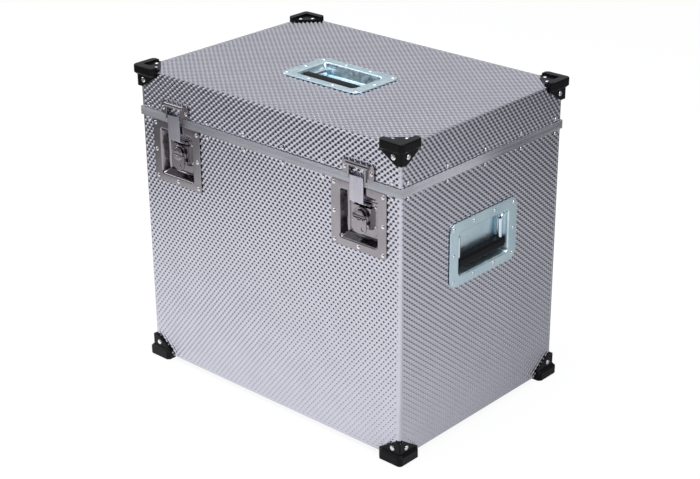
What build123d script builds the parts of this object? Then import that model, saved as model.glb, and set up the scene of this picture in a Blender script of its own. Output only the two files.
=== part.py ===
from build123d import *
from math import asin, cos, sin
import os

# Case for a tripod head: a plywood box in embossed aluminium sheet, with a lid
# hinged at the back, two recessed latches in front and three folding handles.
# Millimetres, +Z up. The origin is the middle of the footprint, on the surface
# that the four feet stand on. The front faces -Y.

# The box over its metal skin
CASE_W = 520.0
CASE_D = 366.0
BASE_H = 412.0
LID_H = 66.0
SKIN_T = 1.6
PLY_T = 6.5

# Plastic corners: the feet below and the stacking corners above
FOOT_H = 8.0
STACK_H = 6.5
CORNER_REACH = 36.0
CORNER_DROP = 27.0
CORNER_PLATE = 3.5
CORNER_FLOOR = 3.0
CORNER_PROUD = 8.0
CORNER_ROUND = 6.4
CORNER_EDGE_R = 2.2
LEG_ROUND = 2.4
CORNER_LIP = 4.0
CORNER_BEVEL = 8.0
BUMPER_DROP = 9.0
CORNER_RIVET_IN = 11.0
CORNER_RIVET_DOWN = 16.0
CORNER_RIVET_FAR = 25.0

# Edge lengths round the mouth: a tongue in the lid and a groove in the base
RIM_T = 1.2
RIM_PROUD = 1.2
BASE_BAND = 7.5
LID_BAND = 5.5
BASE_WEB = 5.0
LID_WEB = 2.2
BASE_FLANGE = 14.0
LID_FLANGE = 13.5
PARTING_GAP = 0.3
TONGUE_T = 3.0
TONGUE_H = 3.0
TONGUE_CLEAR = 0.8
BEAD_W = 0.8
BEAD_DEPTH = 0.4

# Rivets
RIVET_D = 3.2
RIVET_HEAD_D = 6.4
RIVET_HEAD_H = 1.3
CORNER_HEAD_D = 8.4
SMALL_HEAD_D = 4.8
BASE_ROW_DOWN = 11.5
LID_ROW_UP = 10.8
ROW_PITCH = 78.0
ROW_END_IN = 16.0
SIDE_ROW_PITCH = 84.0

# Latches, placed from the side and from the mouth
LATCH_IN = 76.0
LATCH_DOWN = 56.9
PAN_W = 102.0
PAN_H = 98.0
PAN_T = 1.2
PAN_R = 4.0
PAN_OPEN_W = 69.0
PAN_OPEN_H = 72.0
PAN_DEPTH = 12.5
PAN_TAPER = 15.0
PAN_RIVET_IN = 6.0
HUB_UP = 2.0
PLATE_W = 52.0
PLATE_H = 52.0
PLATE_T = 1.2
PLATE_DOWN = 2.0
PLATE_CHAMFER = 8.0
PLATE_RIVET_X = 21.0
PLATE_RIVET_UP = 18.0
PLATE_RIVET_DOWN = 11.0
RAIL_T = 3.0
COVER_T = 1.2
COVER_HALF_H = 16.0
RUN = 0.3
FIT = 0.05
CARRIER_W = 25.8
CARRIER_T = 2.0
CARRIER_DOWN = 9.0
CARRIER_UP = 16.5
LINK_PIVOT_UP = 19.5
LINK_BARREL_R = 2.4
LINK_PIN_D = 2.4
LINK_BARREL_W = 13.4
LINK_W = 25.0
LINK_T = 1.8
LINK_STAND = 3.4
LINK_JOG = 0.9
LINK_BEND_UP = 26.0
LINK_WEB_UP = 23.0
LIP_IN = 1.6
CRANK = 3.0
CRANK_PIN_D = 4.0
CRANK_CLEAR = 0.8
SPINDLE_D = 12.0
COLLAR_D = 16.0
COLLAR_T = 1.0
KNOB_D = 27.0
KNOB_T = 3.0
KNOB_EDGE = 1.2
WING_REACH = 25.0
WING_W = 25.0
WING_ROUND = 9.0
WING_T = 1.6
WING_BARREL_R = 1.6
WING_PIN_D = 1.6
WING_AXIS_UP = 1.5
WING_STAND = 0.6
WING_HOLE_D = 7.0
WING_HOLE_X = 6.5
WING_HOLE_DOWN = 17.0
EAR_X = 9.4
EAR_T = 2.2
EAR_R = 2.0

# Keepers on the lid
KEEPER_W = 58.0
KEEPER_T = 1.6
KEEPER_WINDOW = 28.0
KEEPER_RIB = 3.0
KEEPER_BAR_UP = 0.7
KEEPER_BAR_TOP = 3.8
KEEPER_BAR_T = 1.8
KEEPER_EAR_UP = 6.0
KEEPER_TOP = 25.5
KEEPER_ROLL_D = 7.0
KEEPER_ROLL_W = 40.0
KEEPER_RIVET_X = 24.5
KEEPER_RIVET_UP = 14.5
LIP_PLAY = 1.0

# Handles
HANDLE_W = 155.0
HANDLE_H = 99.0
HANDLE_T = 1.5
HANDLE_R = 14.0
HANDLE_OPEN_W = 114.0
HANDLE_OPEN_H = 66.0
HANDLE_OPEN_DOWN = 1.0
HANDLE_OPEN_R = 6.0
HANDLE_DEPTH = 16.0
HANDLE_TAPER = 12.0
HANDLE_RIVET_IN_U = 8.0
HANDLE_RIVET_IN_V = 9.0
HANDLE_RIVET_U = 24.0
BAIL_D = 8.0
BAIL_HALF = 49.0
BAIL_END = 65.0
BAIL_R = 6.0
BAIL_SINK = 8.0
PIVOT_UP = 24.0
GRIP_DOWN = 18.0
GRIP_L = 106.0
GRIP_H = 16.0
GRIP_T = 14.6
GRIP_R = 4.5
GRIP_CHAMFER = 1.0
SPRING_WIRE = 1.2
SPRING_PITCH = 1.5
SPRING_TURNS = 3
SPRING_CLEAR = 0.4
MARK_W = 5.0
MARK_DEPTH = 0.5
MARK_U = 15.5
MARK_UP = 11.0
SIDE_HANDLE_DOWN = 131.0
TOP_HANDLE_X = -4.0
TOP_HANDLE_Y = -14.0

# Hinges
HINGE_IN = 105.0
LEAF_W = 60.0
LEAF_H = 38.0
LEAF_T = 2.0
KNUCKLES = 5
KNUCKLE_R = 3.2
HINGE_PIN_D = 3.0
KNUCKLE_GAP = 0.4
LEAF_RIVET_X = 20.0
LEAF_RIVET_NEAR = 20.0
LEAF_RIVET_FAR = 32.0

# Foam lining
FLOOR_FOAM_T = 40.0
WALL_FOAM_T = 22.0
FOAM_GAP = 1.0
SEAT_D = 160.0
SEAT_DEPTH = 15.0

# Cut-outs
CUT_CLEAR = 0.5

WALL_T = SKIN_T + PLY_T
X_SIDE = CASE_W / 2
Y_SIDE = CASE_D / 2
Z_BOTTOM = FOOT_H
Z_PART = FOOT_H + BASE_H
Z_TOP = Z_PART + LID_H
LATCH_X = X_SIDE - LATCH_IN
LATCH_Z = Z_PART - LATCH_DOWN
HINGE_X = X_SIDE - HINGE_IN
SIDE_HANDLE_Z = Z_PART - SIDE_HANDLE_DOWN
OVER = 5.0


def block(x0, x1, y0, y1, z0, z1):
    """A box given by its six sides."""
    middle = Pos((x0 + x1) / 2, (y0 + y1) / 2, (z0 + z1) / 2)
    return middle * Box(x1 - x0, y1 - y0, z1 - z0)


def rod(radius, x0, x1, y=0.0, z=0.0):
    """A cylinder along X."""
    turned = Rot(0, 90, 0) * Cylinder(radius, x1 - x0)
    return Pos((x0 + x1) / 2, y, z) * turned


def pillar(radius, z0, z1, x=0.0, y=0.0):
    """A cylinder along Z."""
    return Pos(x, y, (z0 + z1) / 2) * Cylinder(radius, z1 - z0)


def prism(points, plane, start, end):
    """A polygon drawn on a plane and extruded between two heights above it."""
    face = make_face(Polyline(*points, close=True))
    return extrude(plane.offset(start) * face, amount=end - start)


# Where fittings sit. Each place is a frame on the skin with its first axis along
# the wall, its second upright (towards the back on the lid) and its third outward.
def front_at(x, z):
    return Plane(origin=(x, -Y_SIDE, z), x_dir=(1, 0, 0), z_dir=(0, -1, 0)).location


def back_at(x, z):
    return Plane(origin=(x, Y_SIDE, z), x_dir=(-1, 0, 0), z_dir=(0, 1, 0)).location


def right_at(y, z):
    return Plane(origin=(X_SIDE, y, z), x_dir=(0, 1, 0), z_dir=(1, 0, 0)).location


def left_at(y, z):
    return Plane(origin=(-X_SIDE, -y, z), x_dir=(0, -1, 0), z_dir=(-1, 0, 0)).location


def top_at(x, y):
    return Plane(origin=(x, y, Z_TOP), x_dir=(1, 0, 0), z_dir=(0, 0, 1)).location


def bottom_at(x, y):
    return Plane(origin=(x, y, Z_BOTTOM), x_dir=(1, 0, 0), z_dir=(0, 0, -1)).location


LATCH_PLACES = {
    "left": front_at(-LATCH_X, LATCH_Z),
    "right": front_at(LATCH_X, LATCH_Z),
}
KEEPER_PLACES = {
    "left": front_at(-LATCH_X, Z_PART),
    "right": front_at(LATCH_X, Z_PART),
}
HANDLE_PLACES = {
    "left": left_at(0, SIDE_HANDLE_Z),
    "right": right_at(0, SIDE_HANDLE_Z),
    "lid": top_at(TOP_HANDLE_X, TOP_HANDLE_Y),
}
HINGE_PLACES = {
    "left": back_at(-HINGE_X, Z_PART),
    "right": back_at(HINGE_X, Z_PART),
}


# Fasteners. Each is (place on a wall, head diameter, height of the head's seat
# above the skin, depth of the tail below the skin).
def rim_rows(z, tail, front_skips):
    """The rivets along one rim, which go through the wall and the inner flange."""
    along = [ROW_PITCH * k for k in (-1.5, -0.5, 0.5, 1.5)]
    along += [s * (X_SIDE - ROW_END_IN) for s in (-1, 1)]
    rear = along + [s * ROW_PITCH * 2.5 for s in (-1, 1)]
    across = [SIDE_ROW_PITCH * k for k in (-2, -1, 0, 1, 2)]
    places = [front_at(x, z) for x in along if not front_skips(x)]
    places += [back_at(x, z) for x in rear]
    places += [right_at(y, z) for y in across] + [left_at(y, z) for y in across]
    return [(p, RIVET_HEAD_D, 0.0, tail) for p in places]


def corner_rivets(z, flat_at):
    """Four rivets for each corner: two on the walls and two on the flat side."""
    found = []
    x_in, y_in = X_SIDE - CORNER_RIVET_IN, Y_SIDE - CORNER_RIVET_IN
    x_far, y_far = X_SIDE - CORNER_RIVET_FAR, Y_SIDE - CORNER_RIVET_FAR
    for sx in (-1, 1):
        for sy in (-1, 1):
            wall_x = right_at(sy * y_in, z) if sx > 0 else left_at(-sy * y_in, z)
            wall_y = back_at(sx * x_in, z) if sy > 0 else front_at(sx * x_in, z)
            found += [(p, CORNER_HEAD_D, CORNER_PLATE, WALL_T) for p in (wall_x, wall_y)]
            flats = [flat_at(sx * x_far, sy * y_in), flat_at(sx * x_in, sy * y_far)]
            found += [(p, RIVET_HEAD_D, CORNER_FLOOR, WALL_T) for p in flats]
    return found


def pan_rivets(place):
    u, v = PAN_W / 2 - PAN_RIVET_IN, PAN_H / 2 - PAN_RIVET_IN
    spots = [(s * u, k * v) for s in (-1, 1) for k in (-1, 0, 1)] + [(0, -v)]
    return [(place * Pos(*s), RIVET_HEAD_D, PAN_T, WALL_T) for s in spots]


def body_rivets(place):
    """Four rivets that hold the latch body to the pan's floor."""
    seat, tail = PLATE_T - PAN_DEPTH, PAN_DEPTH + PAN_T
    spots = [
        (s * PLATE_RIVET_X, v)
        for s in (-1, 1)
        for v in (PLATE_RIVET_UP, -PLATE_RIVET_DOWN)
    ]
    return [(place * Pos(*s), SMALL_HEAD_D, seat, tail) for s in spots]


def keeper_rivets(place):
    spots = [(s * KEEPER_RIVET_X, KEEPER_RIVET_UP) for s in (-1, 1)]
    return [(place * Pos(*s), RIVET_HEAD_D, KEEPER_T, WALL_T) for s in spots]


def handle_rivets(place):
    u, v = HANDLE_W / 2 - HANDLE_RIVET_IN_U, HANDLE_H / 2 - HANDLE_RIVET_IN_V
    spots = [(s * u, k * v) for s in (-1, 1) for k in (-1, 0, 1)]
    edge = HANDLE_H / 2 - HANDLE_RIVET_IN_U
    spots += [(s * HANDLE_RIVET_U, k * edge) for s in (-1, 1) for k in (-1, 1)]
    return [(place * Pos(*s), RIVET_HEAD_D, HANDLE_T, WALL_T) for s in spots]


def leaf_rivets(place, side):
    spots = [
        (s * LEAF_RIVET_X, side * v)
        for s in (-1, 1)
        for v in (LEAF_RIVET_NEAR, LEAF_RIVET_FAR)
    ]
    return [(place * Pos(*s), RIVET_HEAD_D, LEAF_T, WALL_T) for s in spots]


def base_fasteners():
    def under_pan(x):
        return abs(abs(x) - LATCH_X) < PAN_W / 2

    found = rim_rows(Z_PART - BASE_ROW_DOWN, WALL_T + RIM_T, under_pan)
    found += corner_rivets(Z_BOTTOM + CORNER_RIVET_DOWN, bottom_at)
    for place in LATCH_PLACES.values():
        found += pan_rivets(place) + body_rivets(place)
    for name in ("left", "right"):
        found += handle_rivets(HANDLE_PLACES[name])
    for place in HINGE_PLACES.values():
        found += leaf_rivets(place, -1)
    return found


def lid_fasteners():
    def under_keeper(x):
        return abs(abs(x) - LATCH_X) < KEEPER_W / 2

    found = rim_rows(Z_PART + LID_ROW_UP, WALL_T + RIM_T, under_keeper)
    found += corner_rivets(Z_TOP - CORNER_RIVET_DOWN, top_at)
    for place in KEEPER_PLACES.values():
        found += keeper_rivets(place)
    found += handle_rivets(HANDLE_PLACES["lid"])
    for place in HINGE_PLACES.values():
        found += leaf_rivets(place, 1)
    return found


def rivet(head_d, length):
    """A domed head on a straight shank, with the head's seat at height zero."""
    r, head = RIVET_D / 2, head_d / 2
    ball = (RIVET_HEAD_H**2 + head**2) / (2 * RIVET_HEAD_H)
    half_turn = asin(head / ball) / 2
    middle = (ball * sin(half_turn), RIVET_HEAD_H - ball * (1 - cos(half_turn)))
    dome = ThreePointArc((head, 0), middle, (0, RIVET_HEAD_H))
    side = Polyline((0, RIVET_HEAD_H), (0, -length), (r, -length), (r, 0), (head, 0))
    return revolve(Plane.XZ * make_face([dome, side]), Axis.Z)


def rivets(fasteners):
    shapes = {}
    placed = []
    for place, head_d, seat, tail in fasteners:
        key = (head_d, seat + tail)
        if key not in shapes:
            shapes[key] = rivet(*key)
        placed.append(place * Pos(0, 0, seat) * shapes[key])
    return placed


def drills(fasteners):
    return [
        place * pillar(RIVET_D / 2, -tail - OVER, seat + OVER)
        for place, _, seat, tail in fasteners
    ]


def apart(a, b):
    """Whether two boxes have a gap between them."""
    gaps = [a.min.X - b.max.X, b.min.X - a.max.X, a.min.Y - b.max.Y]
    gaps += [b.min.Y - a.max.Y, a.min.Z - b.max.Z, b.min.Z - a.max.Z]
    return max(gaps) > 0


def cut(shape, tools):
    """The shape without the tools that reach it."""
    space = shape.bounding_box()
    near = [t for t in tools if not apart(space, t.bounding_box())]
    return shape - near if near else shape


# Panels and skins
def wall_panels(z0, z1):
    """The four upright panels: front and back run the full width."""
    x, y = X_SIDE - SKIN_T, Y_SIDE - SKIN_T
    inner_x, inner_y = X_SIDE - WALL_T, Y_SIDE - WALL_T
    return {
        "front": block(-x, x, -y, -inner_y, z0, z1),
        "back": block(-x, x, inner_y, y, z0, z1),
        "left": block(-x, -inner_x, -inner_y, inner_y, z0, z1),
        "right": block(inner_x, x, -inner_y, inner_y, z0, z1),
    }


def flat_panel(z0):
    x, y = X_SIDE - SKIN_T, Y_SIDE - SKIN_T
    return block(-x, x, -y, y, z0, z0 + PLY_T)


def skin(z0, z1, inner_z0, inner_z1):
    """A sheet shell, open where its inner box passes its outer one."""
    x, y = X_SIDE - SKIN_T, Y_SIDE - SKIN_T
    outer = block(-X_SIDE, X_SIDE, -Y_SIDE, Y_SIDE, z0, z1)
    return outer - block(-x, x, -y, y, inner_z0, inner_z1)


def pan_opening(place):
    w = PAN_OPEN_W + 2 * (PAN_T + CUT_CLEAR)
    h = PAN_OPEN_H + 2 * (PAN_T + CUT_CLEAR)
    return place * Pos(0, 0, -WALL_T / 2) * Box(w, h, WALL_T + OVER)


def handle_opening(place):
    w = 2 * (BAIL_END + CUT_CLEAR)
    h = HANDLE_OPEN_H + 2 * (HANDLE_T + CUT_CLEAR)
    return place * Pos(0, -HANDLE_OPEN_DOWN, -WALL_T / 2) * Box(w, h, WALL_T + OVER)


def base_openings():
    found = [pan_opening(p) for p in LATCH_PLACES.values()]
    return found + [handle_opening(HANDLE_PLACES[n]) for n in ("left", "right")]


# Rims
def mitred(profile, half):
    """One edge length: (height, outward) points run along X, mitred at both ends."""
    long = half + OVER
    deep = WALL_T + RIM_T + OVER
    bar = extrude(Plane.YZ * make_face(Polyline(*profile, close=True)), long, both=True)
    ends = [(-long, OVER), (long, OVER), (half - deep, -deep), (deep - half, -deep)]
    reach = BASE_FLANGE + LID_FLANGE
    wedge = extrude(Plane.XZ * make_face(Polyline(*ends, close=True)), reach, both=True)
    return bar & wedge


def rim(profile):
    """The four edge lengths of one rim, in their places."""
    along, across = mitred(profile, X_SIDE), mitred(profile, Y_SIDE)
    return [
        front_at(0, Z_PART) * along,
        back_at(0, Z_PART) * along,
        right_at(0, Z_PART) * across,
        left_at(0, Z_PART) * across,
    ]


def base_rim_profile():
    half = TONGUE_T / 2 + TONGUE_CLEAR
    middle = -WALL_T / 2
    top = -PARTING_GAP / 2
    groove = top - TONGUE_H - TONGUE_CLEAR
    bead = -BASE_BAND / 2
    inner = -WALL_T - RIM_T
    return [
        (-BASE_BAND, 0),
        (-BASE_BAND, RIM_PROUD),
        (bead - BEAD_W / 2, RIM_PROUD),
        (bead, RIM_PROUD - BEAD_DEPTH),
        (bead + BEAD_W / 2, RIM_PROUD),
        (top, RIM_PROUD),
        (top, middle + half),
        (groove, middle + half),
        (groove, middle - half),
        (top, middle - half),
        (top, inner),
        (-BASE_FLANGE, inner),
        (-BASE_FLANGE, -WALL_T),
        (-BASE_WEB, -WALL_T),
        (-BASE_WEB, 0),
    ]


def lid_rim_profile():
    half = TONGUE_T / 2
    middle = -WALL_T / 2
    low = PARTING_GAP / 2
    bead = LID_BAND / 2
    inner = -WALL_T - RIM_T
    return [
        (LID_BAND, 0),
        (LID_BAND, RIM_PROUD),
        (bead + BEAD_W / 2, RIM_PROUD),
        (bead, RIM_PROUD - BEAD_DEPTH),
        (bead - BEAD_W / 2, RIM_PROUD),
        (low, RIM_PROUD),
        (low, middle + half),
        (-TONGUE_H, middle + half / 2),
        (-TONGUE_H, middle - half / 2),
        (low, middle - half),
        (low, inner),
        (LID_FLANGE, inner),
        (LID_FLANGE, -WALL_T),
        (LID_WEB, -WALL_T),
        (LID_WEB, 0),
    ]


# Corners. The corner of the box is at the origin and the box fills the octant
# where x, y and z are all below zero.
def corner(height):
    """The bumper, its flat side and the two pointed legs, without stacking form."""
    far, out, near = CORNER_REACH, CORNER_PROUD, CORNER_PLATE
    short = far - (out - near)
    outline = [
        (out, out),
        (-short, out),
        (-far, near),
        (-far, -CORNER_BEVEL),
        (-CORNER_BEVEL, -far),
        (near, -far),
        (out, -short),
    ]
    body = prism(outline, Plane.XY, -BUMPER_DROP, height)
    upright = body.edges().filter_by(Axis.Z).sort_by_distance((out, out, 0))[0]
    body = fillet(upright, CORNER_ROUND)
    body = chamfer(body.faces().sort_by(Axis.Z)[0].edges(), CORNER_PLATE)
    body = fillet(body.faces().sort_by(Axis.Z)[-1].edges(), CORNER_EDGE_R)
    leg = [
        (near, CORNER_FLOOR),
        (-far, CORNER_FLOOR),
        (-far, -BUMPER_DROP),
        (-CORNER_PROUD, -CORNER_DROP),
        (near, -CORNER_DROP),
    ]
    wall = prism(leg, Plane.XZ, -near, 0)
    other = mirror(wall, Plane(origin=(0, 0, 0), z_dir=(1, -1, 0)))
    legs = wall + other
    edge = legs.edges().filter_by(Axis.Z).sort_by_distance((near, near, -CORNER_DROP))[0]
    legs = fillet(edge, LEG_ROUND)
    big = 3 * CORNER_REACH
    return body + legs - block(-big, 0, -big, 0, -big, 0)


def corner_drills(height):
    """Room for the heads of the two rivets on the flat side."""
    spots = [(-CORNER_RIVET_FAR, -CORNER_RIVET_IN), (-CORNER_RIVET_IN, -CORNER_RIVET_FAR)]
    radius = RIVET_HEAD_D / 2 + CUT_CLEAR
    return [pillar(radius, CORNER_FLOOR, height + OVER, x, y) for x, y in spots]


def stack_corner():
    """A lid corner: a low floor inside a raised L, where a foot stands."""
    big = 3 * CORNER_REACH
    recess = block(-big, -CORNER_LIP, -big, -CORNER_LIP, CORNER_FLOOR, STACK_H + OVER)
    return corner(STACK_H) - recess


def foot_corner():
    """A base corner: the whole flat side is the foot."""
    return corner(FOOT_H) - corner_drills(FOOT_H)


def placed_corners(shape, flip):
    """The corner at each of the four upright edges, turned, never mirrored."""
    level = Z_BOTTOM if flip else Z_TOP
    if flip:
        shape = Plane(origin=(0, 0, 0), x_dir=(0, 1, 0), z_dir=(0, 0, -1)).location * shape
    turns = {"back_right": 0, "back_left": 90, "front_left": 180, "front_right": 270}
    spots = {
        "back_right": (X_SIDE, Y_SIDE),
        "back_left": (-X_SIDE, Y_SIDE),
        "front_left": (-X_SIDE, -Y_SIDE),
        "front_right": (X_SIDE, -Y_SIDE),
    }
    return {
        name: Pos(*spots[name], level) * Rot(0, 0, turn) * shape
        for name, turn in turns.items()
    }


# Latch pieces, in the latch's own frame: X across, Y up, Z outward from the skin
FLOOR_Z = -PAN_DEPTH
PLATE_Z = FLOOR_Z + PLATE_T
CARRIER_BACK = PLATE_Z + RUN
CARRIER_FRONT = CARRIER_BACK + CARRIER_T
COLLAR_BACK = CARRIER_FRONT + RUN
COLLAR_FRONT = COLLAR_BACK + COLLAR_T
COVER_BACK = COLLAR_FRONT + RUN
COVER_FRONT = COVER_BACK + COVER_T
KNOB_BACK = COVER_FRONT + RUN
KNOB_FRONT = KNOB_BACK + KNOB_T
WING_BACK = KNOB_FRONT + WING_STAND
WING_AXIS_Z = WING_BACK + WING_T
WING_AXIS_Y = HUB_UP + WING_AXIS_UP
LINK_AXIS_Z = PLATE_Z + RUN + LINK_BARREL_R
RAIL_X = CARRIER_W / 2 + RUN


def dish(width, height, radius, depth, thick, taper):
    """A pressed dish whose mouth is at height zero."""
    mouth = RectangleRounded(width + 2 * thick, height + 2 * thick, radius + thick)
    outer = extrude(mouth, -(depth + thick), taper=taper)
    inner = extrude(RectangleRounded(width, height, radius), -depth, taper=taper)
    return outer - inner


def latch_pan():
    flange = extrude(RectangleRounded(PAN_W, PAN_H, PAN_R), PAN_T)
    mouth = extrude(RectangleRounded(PAN_OPEN_W, PAN_OPEN_H, PAN_R), PAN_T)
    hollow = dish(PAN_OPEN_W, PAN_OPEN_H, PAN_R, PAN_DEPTH, PAN_T, PAN_TAPER)
    return flange - mouth + hollow


def latch_body():
    """The base plate, two rails and the cover that the knob turns in."""
    half = PLATE_W / 2
    low, high = -PLATE_H / 2 - PLATE_DOWN, PLATE_H / 2 - PLATE_DOWN
    outline = [
        (-half, high),
        (-half, low + PLATE_CHAMFER),
        (-half + PLATE_CHAMFER, low),
        (half - PLATE_CHAMFER, low),
        (half, low + PLATE_CHAMFER),
        (half, high),
    ]
    body = prism(outline, Plane.XY, FLOOR_Z, PLATE_Z)
    outer = RAIL_X + RAIL_T
    bottom, top = HUB_UP - COVER_HALF_H, HUB_UP + COVER_HALF_H - LINK_BARREL_R
    for x0, x1 in ((-outer, -RAIL_X), (RAIL_X, outer)):
        body += block(x0, x1, bottom, top, PLATE_Z, COVER_BACK)
    body += block(-outer, outer, bottom, top, COVER_BACK, COVER_FRONT)
    return body - pillar(SPINDLE_D / 2 + FIT, COVER_BACK - RUN, COVER_FRONT + RUN, 0, HUB_UP)


def latch_carrier():
    """The plate that the knob's crank slides, with the link's pin across its top."""
    half = CARRIER_W / 2
    body = block(-half, half, -CARRIER_DOWN, CARRIER_UP, CARRIER_BACK, CARRIER_FRONT)
    slot_x = CRANK + CRANK_PIN_D / 2 + CRANK_CLEAR
    slot_y = CRANK_PIN_D / 2 + CRANK_CLEAR
    middle = HUB_UP - CRANK
    body -= block(-slot_x, slot_x, middle - slot_y, middle + slot_y, PLATE_Z, COLLAR_FRONT)
    inner = LINK_BARREL_W / 2 + RUN
    y, z = LINK_PIVOT_UP, LINK_AXIS_Z
    for x0, x1 in ((-half, -inner), (inner, half)):
        body += block(x0, x1, CARRIER_UP, y, CARRIER_BACK, CARRIER_FRONT)
        body += rod(LINK_BARREL_R - RUN, x0, x1, y, z)
    return body + rod(LINK_PIN_D / 2, -half, half, y, z)


def link_top():
    """How high the link's lip stands above the latch's middle."""
    return LATCH_DOWN + KEEPER_BAR_TOP + LIP_PLAY + LINK_T


def latch_link():
    """A barrel on the carrier's pin, a joggled plate and the lip over the keeper."""
    y, z = LINK_PIVOT_UP, LINK_AXIS_Z
    top = link_top()
    front = LINK_STAND + LINK_T
    inner_bend = LINK_BEND_UP + LINK_JOG
    slope = [
        (y, z + LINK_JOG),
        (LINK_BEND_UP, front),
        (inner_bend, LINK_STAND),
        (y + LINK_T, z - LINK_JOG),
    ]
    upright = [
        (LINK_BEND_UP, front),
        (top, front),
        (top, LIP_IN),
        (top - LINK_T, LIP_IN),
        (top - LINK_T, LINK_STAND),
        (inner_bend, LINK_STAND),
    ]
    half, core = LINK_W / 2, LINK_BARREL_W / 2
    web = prism(slope, Plane.YZ, -half, half)
    web -= block(-half - 1, -core, 0, LINK_WEB_UP, z - OVER, front)
    web -= block(core, half + 1, 0, LINK_WEB_UP, z - OVER, front)
    body = web + prism(upright, Plane.YZ, -half, half)
    body += rod(LINK_BARREL_R, -core, core, y, z)
    return body - rod(LINK_PIN_D / 2 + FIT, -core - 1, core + 1, y, z)


def latch_knob():
    """The disc with its ears, and behind it the spindle, collar and crank pin."""
    disc = pillar(KNOB_D / 2, KNOB_BACK, KNOB_FRONT, 0, HUB_UP)
    disc = fillet(disc.faces().sort_by(Axis.Z)[-1].edges(), KNOB_EDGE)
    disc += pillar(SPINDLE_D / 2, COLLAR_BACK, KNOB_BACK, 0, HUB_UP)
    disc += pillar(COLLAR_D / 2, COLLAR_BACK, COLLAR_FRONT, 0, HUB_UP)
    disc += pillar(CRANK_PIN_D / 2, CARRIER_BACK, COLLAR_BACK, 0, HUB_UP - CRANK)
    y, z = WING_AXIS_Y, WING_AXIS_Z
    for x0, x1 in ((-EAR_X - EAR_T, -EAR_X), (EAR_X, EAR_X + EAR_T)):
        disc += rod(EAR_R, x0, x1, y, z) + block(x0, x1, y - EAR_R, y + EAR_R, KNOB_FRONT - 1, z)
    return disc - rod(WING_PIN_D / 2 + FIT, -KNOB_D, KNOB_D, y, z)


def latch_wing():
    """A flat rounded wing on a barrel between the knob's ears."""
    y, z = WING_AXIS_Y, WING_AXIS_Z
    core, half = EAR_X - RUN, WING_W / 2
    low = HUB_UP - WING_REACH
    shoulder = y - EAR_R - 2 * RUN
    wide = block(-half, half, low, shoulder, WING_BACK, WING_BACK + WING_T)
    ends = wide.edges().filter_by(Axis.Z).group_by(Axis.Y)[0]
    wing = fillet(ends, WING_ROUND)
    wing += block(-core, core, shoulder, y, WING_BACK, WING_BACK + WING_T)
    wing += rod(WING_BARREL_R, -core, core, y, z)
    reach = EAR_X + EAR_T
    wing += rod(WING_PIN_D / 2, -reach, reach, y, z)
    hole_y = HUB_UP - WING_HOLE_DOWN
    return wing - pillar(WING_HOLE_D / 2, FLOOR_Z, OVER, WING_HOLE_X, hole_y)


# Keeper, in a frame whose height zero is the parting line
def keeper():
    """Two riveted ears, two ribs, a rolled top bar and the bar the lip holds."""
    rib_in = KEEPER_WINDOW / 2
    rib_out = rib_in + KEEPER_RIB
    half = KEEPER_W / 2
    bar_front = RIM_PROUD + KEEPER_BAR_T
    middle = KEEPER_TOP - KEEPER_ROLL_D / 2
    body = rod(KEEPER_ROLL_D / 2, -KEEPER_ROLL_W / 2, KEEPER_ROLL_W / 2, middle, KEEPER_T)
    body += block(-half, half, KEEPER_TOP - KEEPER_ROLL_D, KEEPER_TOP, 0, KEEPER_T)
    body += block(-rib_out, rib_out, KEEPER_BAR_UP, KEEPER_BAR_TOP, RIM_PROUD, bar_front)
    for s in (-1, 1):
        x0, x1 = sorted((s * rib_in, s * rib_out))
        body += block(x0, x1, KEEPER_BAR_UP, middle, RIM_PROUD, bar_front + KEEPER_T)
        body += block(x0, x1, KEEPER_EAR_UP, middle, 0, bar_front)
        x0, x1 = sorted((s * rib_in, s * half))
        body += block(x0, x1, KEEPER_EAR_UP, KEEPER_TOP, 0, KEEPER_T)
    below = -KEEPER_ROLL_D
    return body - block(-half, half, -OVER, KEEPER_TOP + OVER, below, 0)


# Handle pieces, in the handle's own frame: X along the grip, Y towards the pivot
def handle_dish():
    flange = extrude(RectangleRounded(HANDLE_W, HANDLE_H, HANDLE_R), HANDLE_T)
    low = Pos(0, -HANDLE_OPEN_DOWN, 0)
    mouth = RectangleRounded(HANDLE_OPEN_W, HANDLE_OPEN_H, HANDLE_OPEN_R)
    flange -= low * extrude(mouth, HANDLE_T)
    hollow = dish(
        HANDLE_OPEN_W, HANDLE_OPEN_H, HANDLE_OPEN_R, HANDLE_DEPTH, HANDLE_T, HANDLE_TAPER
    )
    body = flange + low * hollow
    body -= rod(BAIL_D / 2 + FIT, -BAIL_END, BAIL_END, PIVOT_UP, -BAIL_SINK)
    for s in (-1, 1):
        mark = Box(MARK_W, MARK_W, 2 * MARK_DEPTH)
        body -= Pos(s * MARK_U, MARK_UP, -HANDLE_DEPTH) * mark
    return body


def handle_bail():
    """A bent rod whose two ends turn outward through the dish's side walls."""
    points = [
        (-BAIL_END, PIVOT_UP),
        (-BAIL_HALF, PIVOT_UP),
        (-BAIL_HALF, -GRIP_DOWN),
        (BAIL_HALF, -GRIP_DOWN),
        (BAIL_HALF, PIVOT_UP),
        (BAIL_END, PIVOT_UP),
    ]
    path = Pos(0, 0, -BAIL_SINK) * FilletPolyline(*points, radius=BAIL_R)
    start = Plane(origin=(-BAIL_END, PIVOT_UP, -BAIL_SINK), z_dir=(1, 0, 0))
    return sweep(start * Circle(BAIL_D / 2), path)


def handle_grip(bail):
    """A moulded grip over the cross bar and both bends."""
    body = Pos(0, -GRIP_DOWN, -BAIL_SINK) * Box(GRIP_L, GRIP_H, GRIP_T)
    body = fillet(body.edges().filter_by(Axis.X), GRIP_R)
    body = chamfer(body.faces().filter_by(Axis.X).edges(), GRIP_CHAMFER)
    return body - bail


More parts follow.
